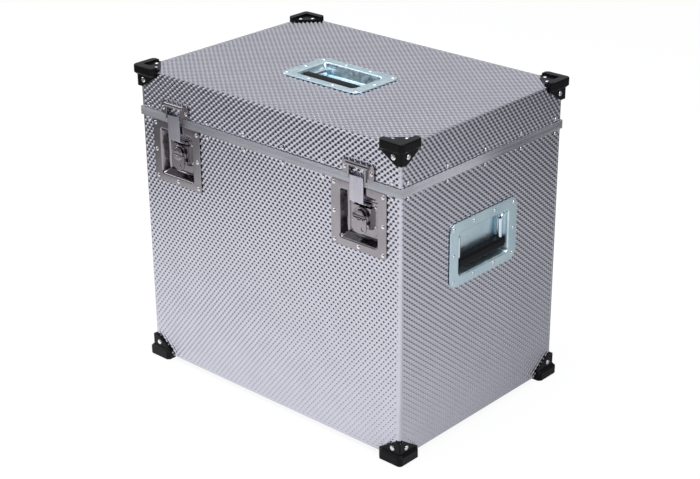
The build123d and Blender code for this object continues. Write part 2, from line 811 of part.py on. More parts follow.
def handle_springs():
    """A coil round each end of the bail, behind the dish's side wall."""
    radius = BAIL_D / 2 + SPRING_CLEAR + SPRING_WIRE / 2
    path = Helix(SPRING_PITCH, SPRING_PITCH * SPRING_TURNS, radius)
    start = Plane(origin=path @ 0, z_dir=path % 0)
    coil = sweep(start * Circle(SPRING_WIRE / 2), path, is_frenet=True)
    outer = BAIL_END - SPRING_WIRE / 2
    right = Pos(outer, PIVOT_UP, -BAIL_SINK) * Rot(0, -90, 0) * coil
    left = Pos(-outer, PIVOT_UP, -BAIL_SINK) * Rot(0, 90, 0) * coil
    return [left, right]


# Hinges, in the frame of a place on the back wall at the parting line
HINGE_OUT = RIM_PROUD + RUN + KNUCKLE_R


def hinge_leaf(own, other, band, hole_d):
    """A leaf that climbs over its rim's band, drawn below the parting line."""
    half = LEAF_W / 2
    reach = KNUCKLE_R + 2 * RUN
    outline = [
        (-LEAF_H, 0),
        (-band - RIM_PROUD, 0),
        (-band, RIM_PROUD),
        (-reach, RIM_PROUD),
        (-reach, RIM_PROUD + LEAF_T),
        (-band - RIM_PROUD / 2, RIM_PROUD + LEAF_T),
        (-band - RIM_PROUD * 1.5, LEAF_T),
        (-LEAF_H, LEAF_T),
    ]
    leaf = prism(outline, Plane.YZ, -half, half)
    step = LEAF_W / KNUCKLES
    for k in own:
        x0, x1 = -half + k * step, -half + (k + 1) * step
        x0 += KNUCKLE_GAP / 2 if k - 1 in other else 0
        x1 -= KNUCKLE_GAP / 2 if k + 1 in other else 0
        leaf += block(x0, x1, -reach, 0, RIM_PROUD, RIM_PROUD + LEAF_T)
        leaf += rod(KNUCKLE_R, x0, x1, 0, HINGE_OUT)
    return leaf - rod(hole_d / 2, -half - 1, half + 1, 0, HINGE_OUT)


def trimmed_leaf(own, other, band, hole_d):
    """The leaf with its tabs cut back where they would touch the other rim."""
    leaf = hinge_leaf(own, other, band, hole_d)
    half = LEAF_W / 2
    return leaf - block(-half, half, -RUN, OVER, 0, RIM_PROUD + RUN)


def hinge_pin():
    half = LEAF_W / 2
    return rod(HINGE_PIN_D / 2, -half, half, 0, HINGE_OUT)


# Foam. A wall pad is glued up from a full sheet and, behind it, strips that leave
# pockets for the fittings that reach through the wall.
def wall_pad(place, half, low, high, deep, pocket_low, pocket_high, spans):
    """Boxes in the wall's frame. A pocket is open above if it reaches the top."""
    back, front = -WALL_T - WALL_FOAM_T, -WALL_T
    pad = [block(-half, half, low, high, back, -deep)]
    pad.append(block(-half, half, low, pocket_low, -deep, front))
    if pocket_high < high:
        pad.append(block(-half, half, pocket_high, high, -deep, front))
    ends = [-half] + [x for span in spans for x in span] + [half]
    for x0, x1 in zip(ends[::2], ends[1::2]):
        pad.append(block(x0, x1, pocket_low, min(pocket_high, high), -deep, front))
    return [place * piece for piece in pad]


def front_pad(half, low, high):
    w = PAN_OPEN_W / 2 + PAN_T + CUT_CLEAR
    bottom = LATCH_Z - PAN_OPEN_H / 2 - PAN_T - CUT_CLEAR
    deep = PAN_DEPTH + PAN_T + FOAM_GAP
    spans = [(x - w, x + w) for x in (-LATCH_X, LATCH_X)]
    return wall_pad(front_at(0, 0), half, low, high, deep, bottom, high, spans)


def side_pad(place, half, low, high):
    w = BAIL_END + CUT_CLEAR
    h = HANDLE_OPEN_H / 2 + HANDLE_T + CUT_CLEAR
    middle = SIDE_HANDLE_Z - HANDLE_OPEN_DOWN
    deep = HANDLE_DEPTH + HANDLE_T + FOAM_GAP
    return wall_pad(place, half, low, high, deep, middle - h, middle + h, [(-w, w)])


def back_pad(half, low, high):
    return [back_at(0, 0) * block(-half, half, low, high, -WALL_T - WALL_FOAM_T, -WALL_T)]


def base_foam():
    """A floor pad with a round seat, and four wall pads that stand on it."""
    x, y = X_SIDE - WALL_T, Y_SIDE - WALL_T
    low = Z_BOTTOM + WALL_T
    mid = low + FLOOR_FOAM_T
    high = Z_PART - BASE_FLANGE - FOAM_GAP
    floor = block(-x, x, -y, y, low, mid)
    floor -= pillar(SEAT_D / 2, mid - SEAT_DEPTH, mid + OVER)
    pads = front_pad(x, mid, high) + back_pad(x, mid, high)
    for place in (left_at(0, 0), right_at(0, 0)):
        pads += side_pad(place, y - WALL_FOAM_T, mid, high)
    return floor, pads


def lid_foam():
    """A pad under the lid's panel, with a pocket for the handle's dish."""
    x, y = X_SIDE - WALL_T, Y_SIDE - WALL_T
    low = Z_PART + LID_FLANGE + FOAM_GAP
    pad = block(-x, x, -y, y, low, Z_TOP - WALL_T)
    w = 2 * (BAIL_END + CUT_CLEAR)
    h = HANDLE_OPEN_H + 2 * (HANDLE_T + CUT_CLEAR)
    deep = HANDLE_DEPTH + HANDLE_T + FOAM_GAP
    pocket = Pos(0, -HANDLE_OPEN_DOWN, -deep / 2) * Box(w, h, deep)
    return pad - HANDLE_PLACES["lid"] * pocket


def build_base(parts):
    holes = drills(base_fasteners())
    openings = base_openings()
    parts["base_floor_panel"] = cut(flat_panel(Z_BOTTOM + SKIN_T), holes)
    panels = wall_panels(Z_BOTTOM + WALL_T, Z_PART - BASE_WEB)
    for side, panel in panels.items():
        parts[f"base_{side}_panel"] = cut(panel, openings + holes)
    top = Z_PART - BASE_WEB
    sheet = skin(Z_BOTTOM, top, Z_BOTTOM + SKIN_T, top + OVER)
    parts["base_skin"] = cut(sheet, openings + holes)
    parts["base_rim"] = [cut(length, holes) for length in rim(base_rim_profile())]
    for name, foot in placed_corners(foot_corner(), True).items():
        parts[f"foot_{name}"] = cut(foot, holes)
    parts["base_rivets"] = rivets(base_fasteners())
    floor, pads = base_foam()
    parts["foam_floor_pad"] = floor
    parts["foam_wall_pads"] = pads
    return holes


def build_lid(parts):
    holes = drills(lid_fasteners())
    opening = [handle_opening(HANDLE_PLACES["lid"])]
    low = Z_PART + LID_WEB
    parts["lid_top_panel"] = cut(flat_panel(Z_TOP - WALL_T), opening + holes)
    for side, panel in wall_panels(low, Z_TOP - WALL_T).items():
        parts[f"lid_{side}_panel"] = cut(panel, holes)
    sheet = skin(low, Z_TOP, low - OVER, Z_TOP - SKIN_T)
    parts["lid_skin"] = cut(sheet, opening + holes)
    parts["lid_rim"] = [cut(length, holes) for length in rim(lid_rim_profile())]
    for name, piece in placed_corners(stack_corner(), False).items():
        parts[f"lid_corner_{name}"] = cut(piece, holes)
    parts["lid_rivets"] = rivets(lid_fasteners())
    parts["lid_foam_pad"] = lid_foam()
    return holes


def build_latches(parts, base_holes, lid_holes):
    shapes = {
        "latch_pan": latch_pan(),
        "latch_body": latch_body(),
        "latch_carrier": latch_carrier(),
        "latch_link": latch_link(),
        "latch_knob": latch_knob(),
        "latch_wing": latch_wing(),
    }
    hook = keeper()
    for side, place in LATCH_PLACES.items():
        for name, shape in shapes.items():
            parts[f"{side}_{name}"] = cut(place * shape, base_holes)
        parts[f"{side}_keeper"] = cut(KEEPER_PLACES[side] * hook, lid_holes)


def build_handles(parts, base_holes, lid_holes):
    bail = handle_bail()
    grip = handle_grip(bail)
    tray = handle_dish()
    springs = handle_springs()
    for name, place in HANDLE_PLACES.items():
        holes = lid_holes if name == "lid" else base_holes
        parts[f"{name}_handle_dish"] = cut(place * tray, holes)
        parts[f"{name}_handle_bail"] = place * bail
        parts[f"{name}_handle_grip"] = place * grip
        parts[f"{name}_handle_springs"] = [place * s for s in springs]


def build_hinges(parts, base_holes, lid_holes):
    lower_own, upper_own = range(0, KNUCKLES, 2), range(1, KNUCKLES, 2)
    lower = trimmed_leaf(lower_own, upper_own, BASE_BAND, HINGE_PIN_D)
    upper = trimmed_leaf(upper_own, lower_own, LID_BAND, HINGE_PIN_D + 2 * FIT)
    upper = mirror(upper, Plane.XZ)
    for side, place in HINGE_PLACES.items():
        parts[f"{side}_hinge_lower_leaf"] = cut(place * lower, base_holes)
        parts[f"{side}_hinge_upper_leaf"] = cut(place * upper, lid_holes)
    parts["hinge_pins"] = [place * hinge_pin() for place in HINGE_PLACES.values()]


def solids_of(piece):
    pieces = piece if isinstance(piece, list) else [piece]
    return [solid for p in pieces for solid in p.solids()]


parts = {}
base_holes = build_base(parts)
lid_holes = build_lid(parts)
build_latches(parts, base_holes, lid_holes)
build_handles(parts, base_holes, lid_holes)
build_hinges(parts, base_holes, lid_holes)

os.makedirs("parts", exist_ok=True)
for name, piece in parts.items():
    solids = solids_of(piece)
    whole = solids[0] if len(solids) == 1 else Compound(children=solids)
    export_step(whole, f"parts/{name}.step")
    print(name, len(solids), round(sum(s.volume for s in solids), 1))
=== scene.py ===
# %% [markdown]
# # A case for a tripod head
#
# The case is a plywood box clad in embossed aluminium, with a hinged lid, two
# recessed latches and three folding handles. Its construction, its sizes and
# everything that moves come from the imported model. This lesson dresses that
# model: each piece gets its pressed, moulded or folded form and its finish.
#
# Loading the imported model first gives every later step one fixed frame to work
# in, in metres, with Z up and the latches facing -Y.

# %% Load the fixed frame
from math import cos, pi, radians, sin, sqrt, tan

import bmesh
import bpy
from mathutils import Matrix, Vector


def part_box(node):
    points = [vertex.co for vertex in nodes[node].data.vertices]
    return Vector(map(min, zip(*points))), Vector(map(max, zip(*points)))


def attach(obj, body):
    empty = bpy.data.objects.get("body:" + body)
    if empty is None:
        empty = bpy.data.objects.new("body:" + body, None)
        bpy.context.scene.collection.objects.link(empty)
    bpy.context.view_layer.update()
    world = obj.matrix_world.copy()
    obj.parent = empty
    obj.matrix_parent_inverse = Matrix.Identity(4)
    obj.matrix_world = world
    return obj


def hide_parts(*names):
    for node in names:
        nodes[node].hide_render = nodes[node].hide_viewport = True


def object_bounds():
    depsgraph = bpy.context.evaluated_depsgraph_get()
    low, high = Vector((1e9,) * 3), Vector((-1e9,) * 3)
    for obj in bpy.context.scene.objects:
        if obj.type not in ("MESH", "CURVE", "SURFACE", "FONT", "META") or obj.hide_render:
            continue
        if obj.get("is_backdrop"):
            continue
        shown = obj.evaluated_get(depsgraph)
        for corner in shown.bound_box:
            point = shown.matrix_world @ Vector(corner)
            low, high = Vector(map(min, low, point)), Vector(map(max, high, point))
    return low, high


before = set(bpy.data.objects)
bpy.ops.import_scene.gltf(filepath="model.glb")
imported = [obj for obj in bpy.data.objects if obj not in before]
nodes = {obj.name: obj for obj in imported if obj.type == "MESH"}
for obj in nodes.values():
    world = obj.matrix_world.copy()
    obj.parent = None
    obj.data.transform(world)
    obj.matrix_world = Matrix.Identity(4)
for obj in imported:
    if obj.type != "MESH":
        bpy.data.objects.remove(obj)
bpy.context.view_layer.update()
scene = bpy.context.scene
MM = 0.001

# %% [markdown]
# ## The camera
#
# The case stands turned a little, and is seen from above its latches. A camera
# could be aimed with a constraint, but three angles and a place are easier to
# measure from edges that meet in a picture. The lens is long, so the upright
# edges stay nearly upright.

# %% Camera
CAMERA_AT = Vector((1.5461, -1.6971, 1.2356))
CAMERA_TURN = radians(42.32)
CAMERA_TILT = radians(23.94)
CAMERA_ROLL = radians(-0.46)
LENS = 82.95
SENSOR = 36

away = Vector((
    sin(CAMERA_TURN) * cos(CAMERA_TILT),
    -cos(CAMERA_TURN) * cos(CAMERA_TILT),
    sin(CAMERA_TILT),
))
level = Vector((cos(CAMERA_TURN), sin(CAMERA_TURN), 0))
upward = away.cross(level)
right = cos(CAMERA_ROLL) * level + sin(CAMERA_ROLL) * upward
up = -sin(CAMERA_ROLL) * level + cos(CAMERA_ROLL) * upward
camera = bpy.data.objects.new("camera", bpy.data.cameras.new("camera"))
camera.matrix_world = Matrix((right, up, away)).transposed().to_4x4()
camera.matrix_world.translation = CAMERA_AT
camera.data.lens = LENS
camera.data.sensor_width = SENSOR
scene.collection.objects.link(camera)
scene.camera = camera
scene.view_settings.view_transform = "Standard"

# %% [markdown]
# ## A short way to write nodes
#
# Materials, the studio and the repeating pieces are all node trees. Written out
# in full, each node takes many lines. One helper adds a node and fills its
# inputs, where a socket is linked and anything else is set as a value, and a
# second does arithmetic. Both work in shader trees and in geometry trees.


# %% Node helpers
def add(tree, kind, inputs=None, **settings):
    """A new node with its settings, and its inputs given by name or number."""
    node = tree.nodes.new(kind)
    for key, value in settings.items():
        setattr(node, key, value)
    for key, value in (inputs or {}).items():
        if isinstance(value, bpy.types.NodeSocket):
            tree.links.new(value, node.inputs[key])
        else:
            node.inputs[key].default_value = value
    return node


def calc(tree, operation, *values):
    """The result of one step of arithmetic."""
    node = add(tree, "ShaderNodeMath", dict(enumerate(values)), operation=operation)
    return node.outputs[0]


def vector_calc(tree, operation, *values):
    """The same for vectors: a number for a length or a dot product."""
    inputs = dict(enumerate(values))
    node = add(tree, "ShaderNodeVectorMath", inputs, operation=operation)
    return node.outputs["Value" if operation in ("LENGTH", "DOT_PRODUCT") else "Vector"]


def ramp(tree, value, start, end, low, high):
    """A smooth change from low to high while the value goes from start to end."""
    inputs = {"Value": value, 1: start, 2: end, 3: low, 4: high}
    node = add(tree, "ShaderNodeMapRange", inputs, interpolation_type="SMOOTHSTEP")
    return node.outputs[0]


# %% [markdown]
# ## The studio
#
# Polished sheet shows what stands round it more than its own colour, so the
# surroundings matter here. The case stands on white paper that ends on a dark
# table, in a dim room with a pale backdrop and a lit ceiling. The world could
# be one flat white, but then the embossing would vanish. Instead the camera sees
# plain white all round, and metal sees a share of that white: all of it on the
# paper before the latches, and none past the soft edges of the paper and the
# backdrop, where the dark table and the dim room begin. Behind the case the paper
# is painted darker, down to the table's dark on the left and a little less on
# the right: painted shade in place of the case's shadow and the weaker light there.

# %% World
WHITE = (1, 1, 1, 1)
ROOM_DIM = 0.05
ROOM_TINT = (0.96, 0.98, 1.0, 1)
BACKDROP_WAY = (-0.8, 0.6, 0.0)
BACKDROP_SIDE = (-0.1, 0.6)
BACKDROP_FOOT = (0.08, 0.42)
BACKDROP_PALE = 0.68
CEILING_EDGE = (0.5, 0.85)
CEILING_PALE = 0.85


def shown(tree, share):
    """1 for what the camera sees, and a share for what metal and glass see."""
    rays = add(tree, "ShaderNodeLightPath").outputs
    mirrored = calc(tree, "ADD", rays["Is Glossy Ray"], rays["Is Transmission Ray"])
    return calc(tree, "MAXIMUM", rays["Is Camera Ray"], calc(tree, "MULTIPLY", mirrored, share))


world = bpy.data.worlds.new("room")
world.use_nodes = True
tree = world.node_tree
tree.nodes.clear()
direction = add(tree, "ShaderNodeTexCoord").outputs["Generated"]
height = add(tree, "ShaderNodeSeparateXYZ", {0: direction}).outputs["Z"]
turned = vector_calc(tree, "DOT_PRODUCT", direction, BACKDROP_WAY)
behind = ramp(tree, turned, *BACKDROP_SIDE, 0.0, BACKDROP_PALE)
backdrop = calc(tree, "MULTIPLY", behind, ramp(tree, height, *BACKDROP_FOOT, 0.0, 1.0))
ceiling = ramp(tree, height, *CEILING_EDGE, ROOM_DIM, CEILING_PALE)
room = add(tree, "ShaderNodeBackground", {"Color": ROOM_TINT, "Strength": ceiling})
white = add(tree, "ShaderNodeBackground", {"Color": WHITE, "Strength": 1.0})
seen = shown(tree, backdrop)
picked = add(tree, "ShaderNodeMixShader", {0: seen, 1: room.outputs[0], 2: white.outputs[0]})
add(tree, "ShaderNodeOutputWorld", {0: picked.outputs[0]})
scene.world = world
print("world has", len(tree.nodes), "nodes")

# %% [markdown]
# The floor is one flat face. The white of its paper could be painted on an image,
# but a few smooth ramps over the floor's own coordinates do it in real metres:
# each edge of the paper is a direction, how far it reaches that way from under
# the case, and how wide its fade is.

# %% Floor
FLOOR_SIZE = 12.0
FLOOR_WHITE = 0.88
FLOOR_GLOW = 0.85
GLOW_STRENGTH = 1.05
PAPER_EDGES = (
    ((-1.0, -0.22, 0.0), 0.6, 0.7),
    ((-0.2, -1.0, 0.0), 1.2, 0.4),
    ((1.0, 0.2, 0.0), 1.15, 0.4),
    ((0.0, 1.0, 0.0), 1.25, 0.4),
)
# Painted shade behind the case: there the paper loses its white in reflections and in its matt
# colour, fully on the left and down to 0.8 on the right, in place of the case's shadow and the
# weaker light there.
PAINTED_SHADE_FRONT_WAY = (-0.67, -0.74, 0.0)
PAINTED_SHADE_FRONT = (-0.14, 0.08)
PAINTED_SHADE_RIGHT_WAY = (0.74, -0.67, 0.0)
PAINTED_SHADE_RIGHT = (-0.41, 0.79)
PAINTED_SHADE_RIGHT_SHARE = 0.8
PAPER_PALE = 0.66
# The dark table, which is also the deepest painted shade on the paper behind the case.
TABLE_DARK_AND_PAINTED_SHADE = 0.2


def paper_with_painted_shade(tree, place):
    """1 before the latches and 0 past the edges, with painted shade behind the case: 0 on the left
    and less on the right.
    """
    forward = vector_calc(tree, "DOT_PRODUCT", place, PAINTED_SHADE_FRONT_WAY)
    sideways = vector_calc(tree, "DOT_PRODUCT", place, PAINTED_SHADE_RIGHT_WAY)
    # Painted shade: the paper keeps its white before the latches, and behind the case only on the
    # right.
    front = ramp(tree, forward, *PAINTED_SHADE_FRONT, 0.0, 1.0)
    painted_shade_right = ramp(tree, sideways, *PAINTED_SHADE_RIGHT, 0.0, PAINTED_SHADE_RIGHT_SHARE)
    inside = calc(tree, "MAXIMUM", front, painted_shade_right)
    for way, edge, fade in PAPER_EDGES:
        reach = vector_calc(tree, "DOT_PRODUCT", place, way)
        within = ramp(tree, reach, edge, edge + fade, 1.0, 0.0)
        inside = calc(tree, "MULTIPLY", inside, within)
    return inside


def floor_material():
    """White to look at, and in reflections a paper on a dark table, with painted shade behind the
    case.
    """
    material = bpy.data.materials.new("studio_floor")
    material.use_nodes = True
    tree = material.node_tree
    tree.nodes.clear()
    share = paper_with_painted_shade(tree, add(tree, "ShaderNodeTexCoord").outputs["Object"])
    # The matt colour carries the same painted shade, down to the table's dark.
    shade = calc(tree, "MAXIMUM", calc(tree, "MULTIPLY", share, PAPER_PALE), TABLE_DARK_AND_PAINTED_SHADE)
    matt = add(tree, "ShaderNodeBsdfDiffuse", {"Color": shade})
    glow = add(tree, "ShaderNodeEmission", {"Strength": GLOW_STRENGTH})
    plain = add(tree, "ShaderNodeBsdfDiffuse", {"Color": (FLOOR_WHITE,) * 3 + (1,)})
    mixed = {0: FLOOR_GLOW, 1: plain.outputs[0], 2: glow.outputs[0]}
    white = add(tree, "ShaderNodeMixShader", mixed)
    seen = shown(tree, share)
    picked = add(tree, "ShaderNodeMixShader", {0: seen, 1: matt.outputs[0], 2: white.outputs[0]})
    add(tree, "ShaderNodeOutputMaterial", {0: picked.outputs[0]})
    return material


floor_mesh = bpy.data.meshes.new("floor")
half = FLOOR_SIZE / 2
corners = [(-half, -half, 0), (half, -half, 0), (half, half, 0), (-half, half, 0)]
floor_mesh.from_pydata(corners, [], [(0, 1, 2, 3)])
floor_mesh.materials.append(floor_material())
floor = bpy.data.objects.new("floor", floor_mesh)
scene.collection.objects.link(floor)
floor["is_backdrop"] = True
print("floor of", FLOOR_SIZE, "m")

# %% [markdown]
# ## The lamps
#
# Three soft boxes light a product like this: the strongest one high above, and one
# on each side. Small lamps or a sun would leave hard specks on polished metal,
# while area lamps give soft shadows and broad highlights. Their strengths are set
# so that a matt colour renders about as it is written.


# %% Lamps
def soft_box(name, place, target, size, watts):
    lamp = bpy.data.lights.new(name, "AREA")
    lamp.shape = "RECTANGLE"
    lamp.size, lamp.size_y = size
    lamp.energy = watts
    holder = bpy.data.objects.new(name, lamp)
    holder.location = place
    aim = Vector(target) - Vector(place)
    holder.rotation_euler = aim.to_track_quat("-Z", "Y").to_euler()
    scene.collection.objects.link(holder)


soft_box("lamp_left", (-2.4, -0.7, 1.3), (-0.2, -0.3, 0.2), (1.6, 1.6), 24)
soft_box("lamp_top", (-0.2, -0.4, 2.6), (0, -0.1, 0.3), (1.8, 1.4), 32)
soft_box("lamp_right", (2.4, 0.2, 1.3), (0, 0, 0.3), (1.2, 1.4), 26)
print("3 soft boxes")

# %% [markdown]
# ## Finishes
#
# Every finish starts from one shader with its plain values set on its sockets,
# so that an export keeps them. What varies over the surface, such as grain,
# handling marks and slight waves, comes from noise on the object's own
# coordinates. These are in metres, so a noise scale is the number of features in
# a metre, and the pattern keeps its real size on every piece.


# %% Finish helpers
EVEN = (1, 1, 1)


def finish(name, color, metallic, roughness, specular=0.5):
    """A material with one main shader: (material, tree, shader)."""
    material = bpy.data.materials.new(name)
    material.use_nodes = True
    tree = material.node_tree
    shader = tree.nodes["Principled BSDF"]
    shader.inputs["Base Color"].default_value = (*color, 1)
    shader.inputs["Metallic"].default_value = metallic
    shader.inputs["Roughness"].default_value = roughness
    shader.inputs["Specular IOR Level"].default_value = specular
    return material, tree, shader


def object_place(tree, stretch=EVEN):
    """The object's own coordinates, scaled along each axis."""
    place = add(tree, "ShaderNodeTexCoord").outputs["Object"]
    return add(tree, "ShaderNodeMapping", {"Vector": place, "Scale": stretch}).outputs[0]


def noise(tree, scale, detail=3.0, stretch=EVEN, rough=0.5):
    inputs = {"Vector": object_place(tree, stretch), "Scale": scale}
    inputs.update({"Detail": detail, "Roughness": rough})
    return add(tree, "ShaderNodeTexNoise", inputs).outputs[0]


def spread(tree, value, low, high, start=0.3, end=0.7):
    """The value's middle range spread between two numbers."""
    inputs = {"Value": value, 1: start, 2: end, 3: low, 4: high}
    return add(tree, "ShaderNodeMapRange", inputs).outputs[0]


def tint(tree, value, first, second):
    """A colour between two, by a value from 0 to 1."""
    node = add(tree, "ShaderNodeMix", {0: value}, data_type="RGBA")
    node.inputs[6].default_value = (*first, 1)
    node.inputs[7].default_value = (*second, 1)
    return node.outputs[2]


def raise_bump(tree, shader, height, distance, under=None):
    """Adds a bump of a real height, on top of an earlier one if there is one."""
    inputs = {"Height": height, "Distance": distance, "Strength": 1.0}
    if under is not None:
        inputs["Normal"] = under
    bump = add(tree, "ShaderNodeBump", inputs).outputs[0]
    tree.links.new(bump, shader.inputs["Normal"])
    return bump


# %% [markdown]
# The metals differ in tint and polish more than in kind: satin extrusions,
# blue-bright zinc plate, nickel plate, bright rod and plain steel. Each could have
# a tree of its own, but one function makes them all, so that a metal is one line
# of values. A grain that runs one way is noise stretched along that way.


# %% Metals
CLOUDS, POLISH, WAVES, GRAIN = 22.0, 160.0, 26.0, 2200.0
POLISHED_TO, DULLED_TO = 0.75, 1.3
WAVE_HEIGHT = 0.0002
GRAIN_HEIGHT = 0.000004
ALONG_RIM = (0.04, 0.04, 1.0)
UP_LINK = (1, 1, 0.05)


def metal(name, first, second, roughness, wave=WAVE_HEIGHT, stretch=EVEN):
    """A metal with cloudy colour, uneven polish, a faint grain and slight waves."""
    material, tree, shader = finish(name, first, 1.0, roughness)
    cloud = spread(tree, noise(tree, CLOUDS), 0.0, 1.0)
    tree.links.new(tint(tree, cloud, first, second), shader.inputs["Base Color"])
    polish = noise(tree, POLISH, 5.0, stretch)
    uneven = spread(tree, polish, roughness * POLISHED_TO, roughness * DULLED_TO)
    tree.links.new(uneven, shader.inputs["Roughness"])
    low = raise_bump(tree, shader, noise(tree, WAVES, 1.0), wave)
    raise_bump(tree, shader, noise(tree, GRAIN, 2.0, stretch), GRAIN_HEIGHT, under=low)
    return material


EXTRUDED = metal("rim_aluminium", (0.64, 0.65, 0.70), (0.58, 0.59, 0.64), 0.5, stretch=ALONG_RIM)
RIVET = metal("rivet_metal", (0.86, 0.86, 0.88), (0.78, 0.78, 0.80), 0.2)
ZINC = metal("zinc_plate", (0.74, 0.90, 0.97), (0.62, 0.80, 0.90), 0.36)
ROD = metal("bright_rod", (0.74, 0.82, 0.87), (0.66, 0.75, 0.82), 0.16)
WIRE = metal("spring_wire", (0.52, 0.54, 0.56), (0.44, 0.46, 0.49), 0.3)
HINGE = metal("hinge_steel", (0.66, 0.69, 0.73), (0.58, 0.61, 0.66), 0.3)
LINK = metal("link_steel", (0.63, 0.62, 0.70), (0.58, 0.57, 0.65), 0.3, stretch=UP_LINK)
NICKEL = metal("latch_steel", (0.37, 0.35, 0.375), (0.31, 0.29, 0.315), 0.16)
print("8 metals")

# %% [markdown]
# Moulded plastic has a fine grain from its tool and paler scuffs where it is
# handled. It could be one plain black, but then the corners would look like
# holes, so noise picks the scuffs. Foam is full of open cells, which cell noise
# gives at the right size, with painted shade: each cell is darker in its middle,
# where its hollow lies. Plywood has a long grain.


# %% Plastics
SCUFFS, HANDLING, MOULD_GRAIN = 90.0, 400.0, 2600.0
SCUFFED = (0.6, 0.8)
WORN_TO, MATT_TO = 0.85, 1.2
MOULD_GRAIN_HEIGHT = 0.00001
PLASTIC_SHINE = 0.15


def plastic(name, dark, scuffed, roughness):
    material, tree, shader = finish(name, dark, 0.0, roughness, PLASTIC_SHINE)
    scuffs = spread(tree, noise(tree, SCUFFS, 8.0, rough=0.7), 0.0, 1.0, *SCUFFED)
    tree.links.new(tint(tree, scuffs, dark, scuffed), shader.inputs["Base Color"])
    uneven = spread(tree, noise(tree, HANDLING), roughness * WORN_TO, roughness * MATT_TO)
    tree.links.new(uneven, shader.inputs["Roughness"])
    raise_bump(tree, shader, noise(tree, MOULD_GRAIN, 1.0), MOULD_GRAIN_HEIGHT)
    return material


CORNER = plastic("corner_plastic", (0.005, 0.005, 0.007), (0.018, 0.018, 0.022), 0.3)
GRIP = plastic("grip_plastic", (0.004, 0.004, 0.006), (0.014, 0.014, 0.016), 0.42)
print("2 plastics")

# %% Foam and plywood
FOAM_CELLS, FOAM_WAVES = 900.0, 14.0
FOAM_PORE_SHADE = (0.1, 0.8)
FOAM_CELL_DEPTH = 0.0006
FOAM_WAVE_HEIGHT = 0.004
FOAM_SHEEN = 0.15
WOOD_GRAIN = 60.0
WOOD_GRAIN_HEIGHT = 0.0002
LONG_GRAIN = (0.08, 1.0, 1.0)


def foam_finish():
    material, tree, shader = finish("foam", (0.035, 0.036, 0.04), 0.0, 0.95)
    place = object_place(tree)
    cells = add(tree, "ShaderNodeTexVoronoi", {"Vector": place, "Scale": FOAM_CELLS}).outputs[0]
    # Painted shade: each cell is darker in its middle, where the hollow of its pore lies, and
    # paler on its walls.
    shade = spread(tree, cells, 0.0, 1.0, *FOAM_PORE_SHADE)
    color = tint(tree, shade, (0.016, 0.017, 0.02), (0.06, 0.062, 0.068))
    tree.links.new(color, shader.inputs["Base Color"])
    shader.inputs["Sheen Weight"].default_value = FOAM_SHEEN
    low = raise_bump(tree, shader, noise(tree, FOAM_WAVES, 2.0), FOAM_WAVE_HEIGHT)
    raise_bump(tree, shader, cells, FOAM_CELL_DEPTH, under=low)
    return material


def plywood_finish():
    material, tree, shader = finish("plywood", (0.55, 0.40, 0.25), 0.0, 0.6)
    grain = noise(tree, WOOD_GRAIN, 6.0, LONG_GRAIN, 0.65)
    color = tint(tree, spread(tree, grain, 0.0, 1.0), (0.62, 0.47, 0.30), (0.44, 0.30, 0.17))
    tree.links.new(color, shader.inputs["Base Color"])
    raise_bump(tree, shader, grain, WOOD_GRAIN_HEIGHT)
    return material


FOAM = foam_finish()
PLYWOOD = plywood_finish()
print("foam and plywood")

# %% [markdown]
# ## Places on the walls
#
# A fitting sits on a wall, so it is easiest to draw it flat, with X along the
# wall, Y up it and Z outward, and then carry it there with one matrix. The
# walls' planes come from the boxes of the two skins in the frame.

# %% Wall frames
base_low, base_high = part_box("base_skin")
lid_low, lid_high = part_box("lid_skin")
AXES = {
    "front": ((1, 0, 0), (0, 0, 1), (0, -1, 0)),
    "back": ((-1, 0, 0), (0, 0, 1), (0, 1, 0)),
    "right": ((0, 1, 0), (0, 0, 1), (1, 0, 0)),
    "left": ((0, -1, 0), (0, 0, 1), (-1, 0, 0)),
    "top": ((1, 0, 0), (0, 1, 0), (0, 0, 1)),
    "bottom": ((1, 0, 0), (0, -1, 0), (0, 0, -1)),
}


def wall_frame(wall, middle, low, high):
    """The matrix of a place on a wall, where middle is any point in front of it."""
    place = Matrix([Vector(axis) for axis in AXES[wall]]).transposed().to_4x4()
    outward = Vector(AXES[wall][2])
    face = [high[i] if outward[i] > 0 else low[i] for i in range(3)]
    place.translation = [face[i] if outward[i] else middle[i] for i in range(3)]
    return place


def node_frame(node, wall):
    """The place on a wall at the middle of a CAD node."""
    low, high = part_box(node)
    skin_box = (lid_low, lid_high) if wall == "top" else (base_low, base_high)
    return wall_frame(wall, (low + high) / 2, *skin_box)


print("walls at x", round(base_high.x / MM), "and y", round(base_high.y / MM), "mm")


# %% [markdown]
# ## Making pieces
#
# Three kinds of work turn up again and again. A piece made of node trees or
# modifiers is baked to a plain mesh at the origin. A piece whose form in the
# model is already right only needs its edges rounded, because real edges are
# never knife-sharp and it is their highlight that makes metal look solid. And
# each finished piece is tied to the body that it moves with.


# %% Piece helpers
MERGE = 0.000002
FLAT = radians(0.4)
CREASE = radians(38)
LARGE_FACES = 50


def new_object(name, mesh):
    piece = bpy.data.objects.new(name, mesh)
    scene.collection.objects.link(piece)
    return piece


def drawn(name, shape):
    """An object made of a drawn mesh."""
    mesh = bpy.data.meshes.new(name)
    shape.to_mesh(mesh)
    shape.free()
    return new_object(name, mesh)


def baked(piece):
    """The same piece, with its modifiers applied to its mesh."""
    graph = bpy.context.evaluated_depsgraph_get()
    mesh = bpy.data.meshes.new_from_object(piece.evaluated_get(graph))
    piece.modifiers.clear()
    piece.data = mesh
    return piece


def settle(piece, material, body, slot, *stood_for):
    """Gives a finished piece its material and body, and hides the nodes it stands for. The slot is
    not used.
    """
    piece.data.materials.clear()
    piece.data.materials.append(material)
    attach(piece, body)
    if stood_for:
        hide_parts(*stood_for)
    print(piece.name, len(piece.data.polygons), "faces")
    return piece


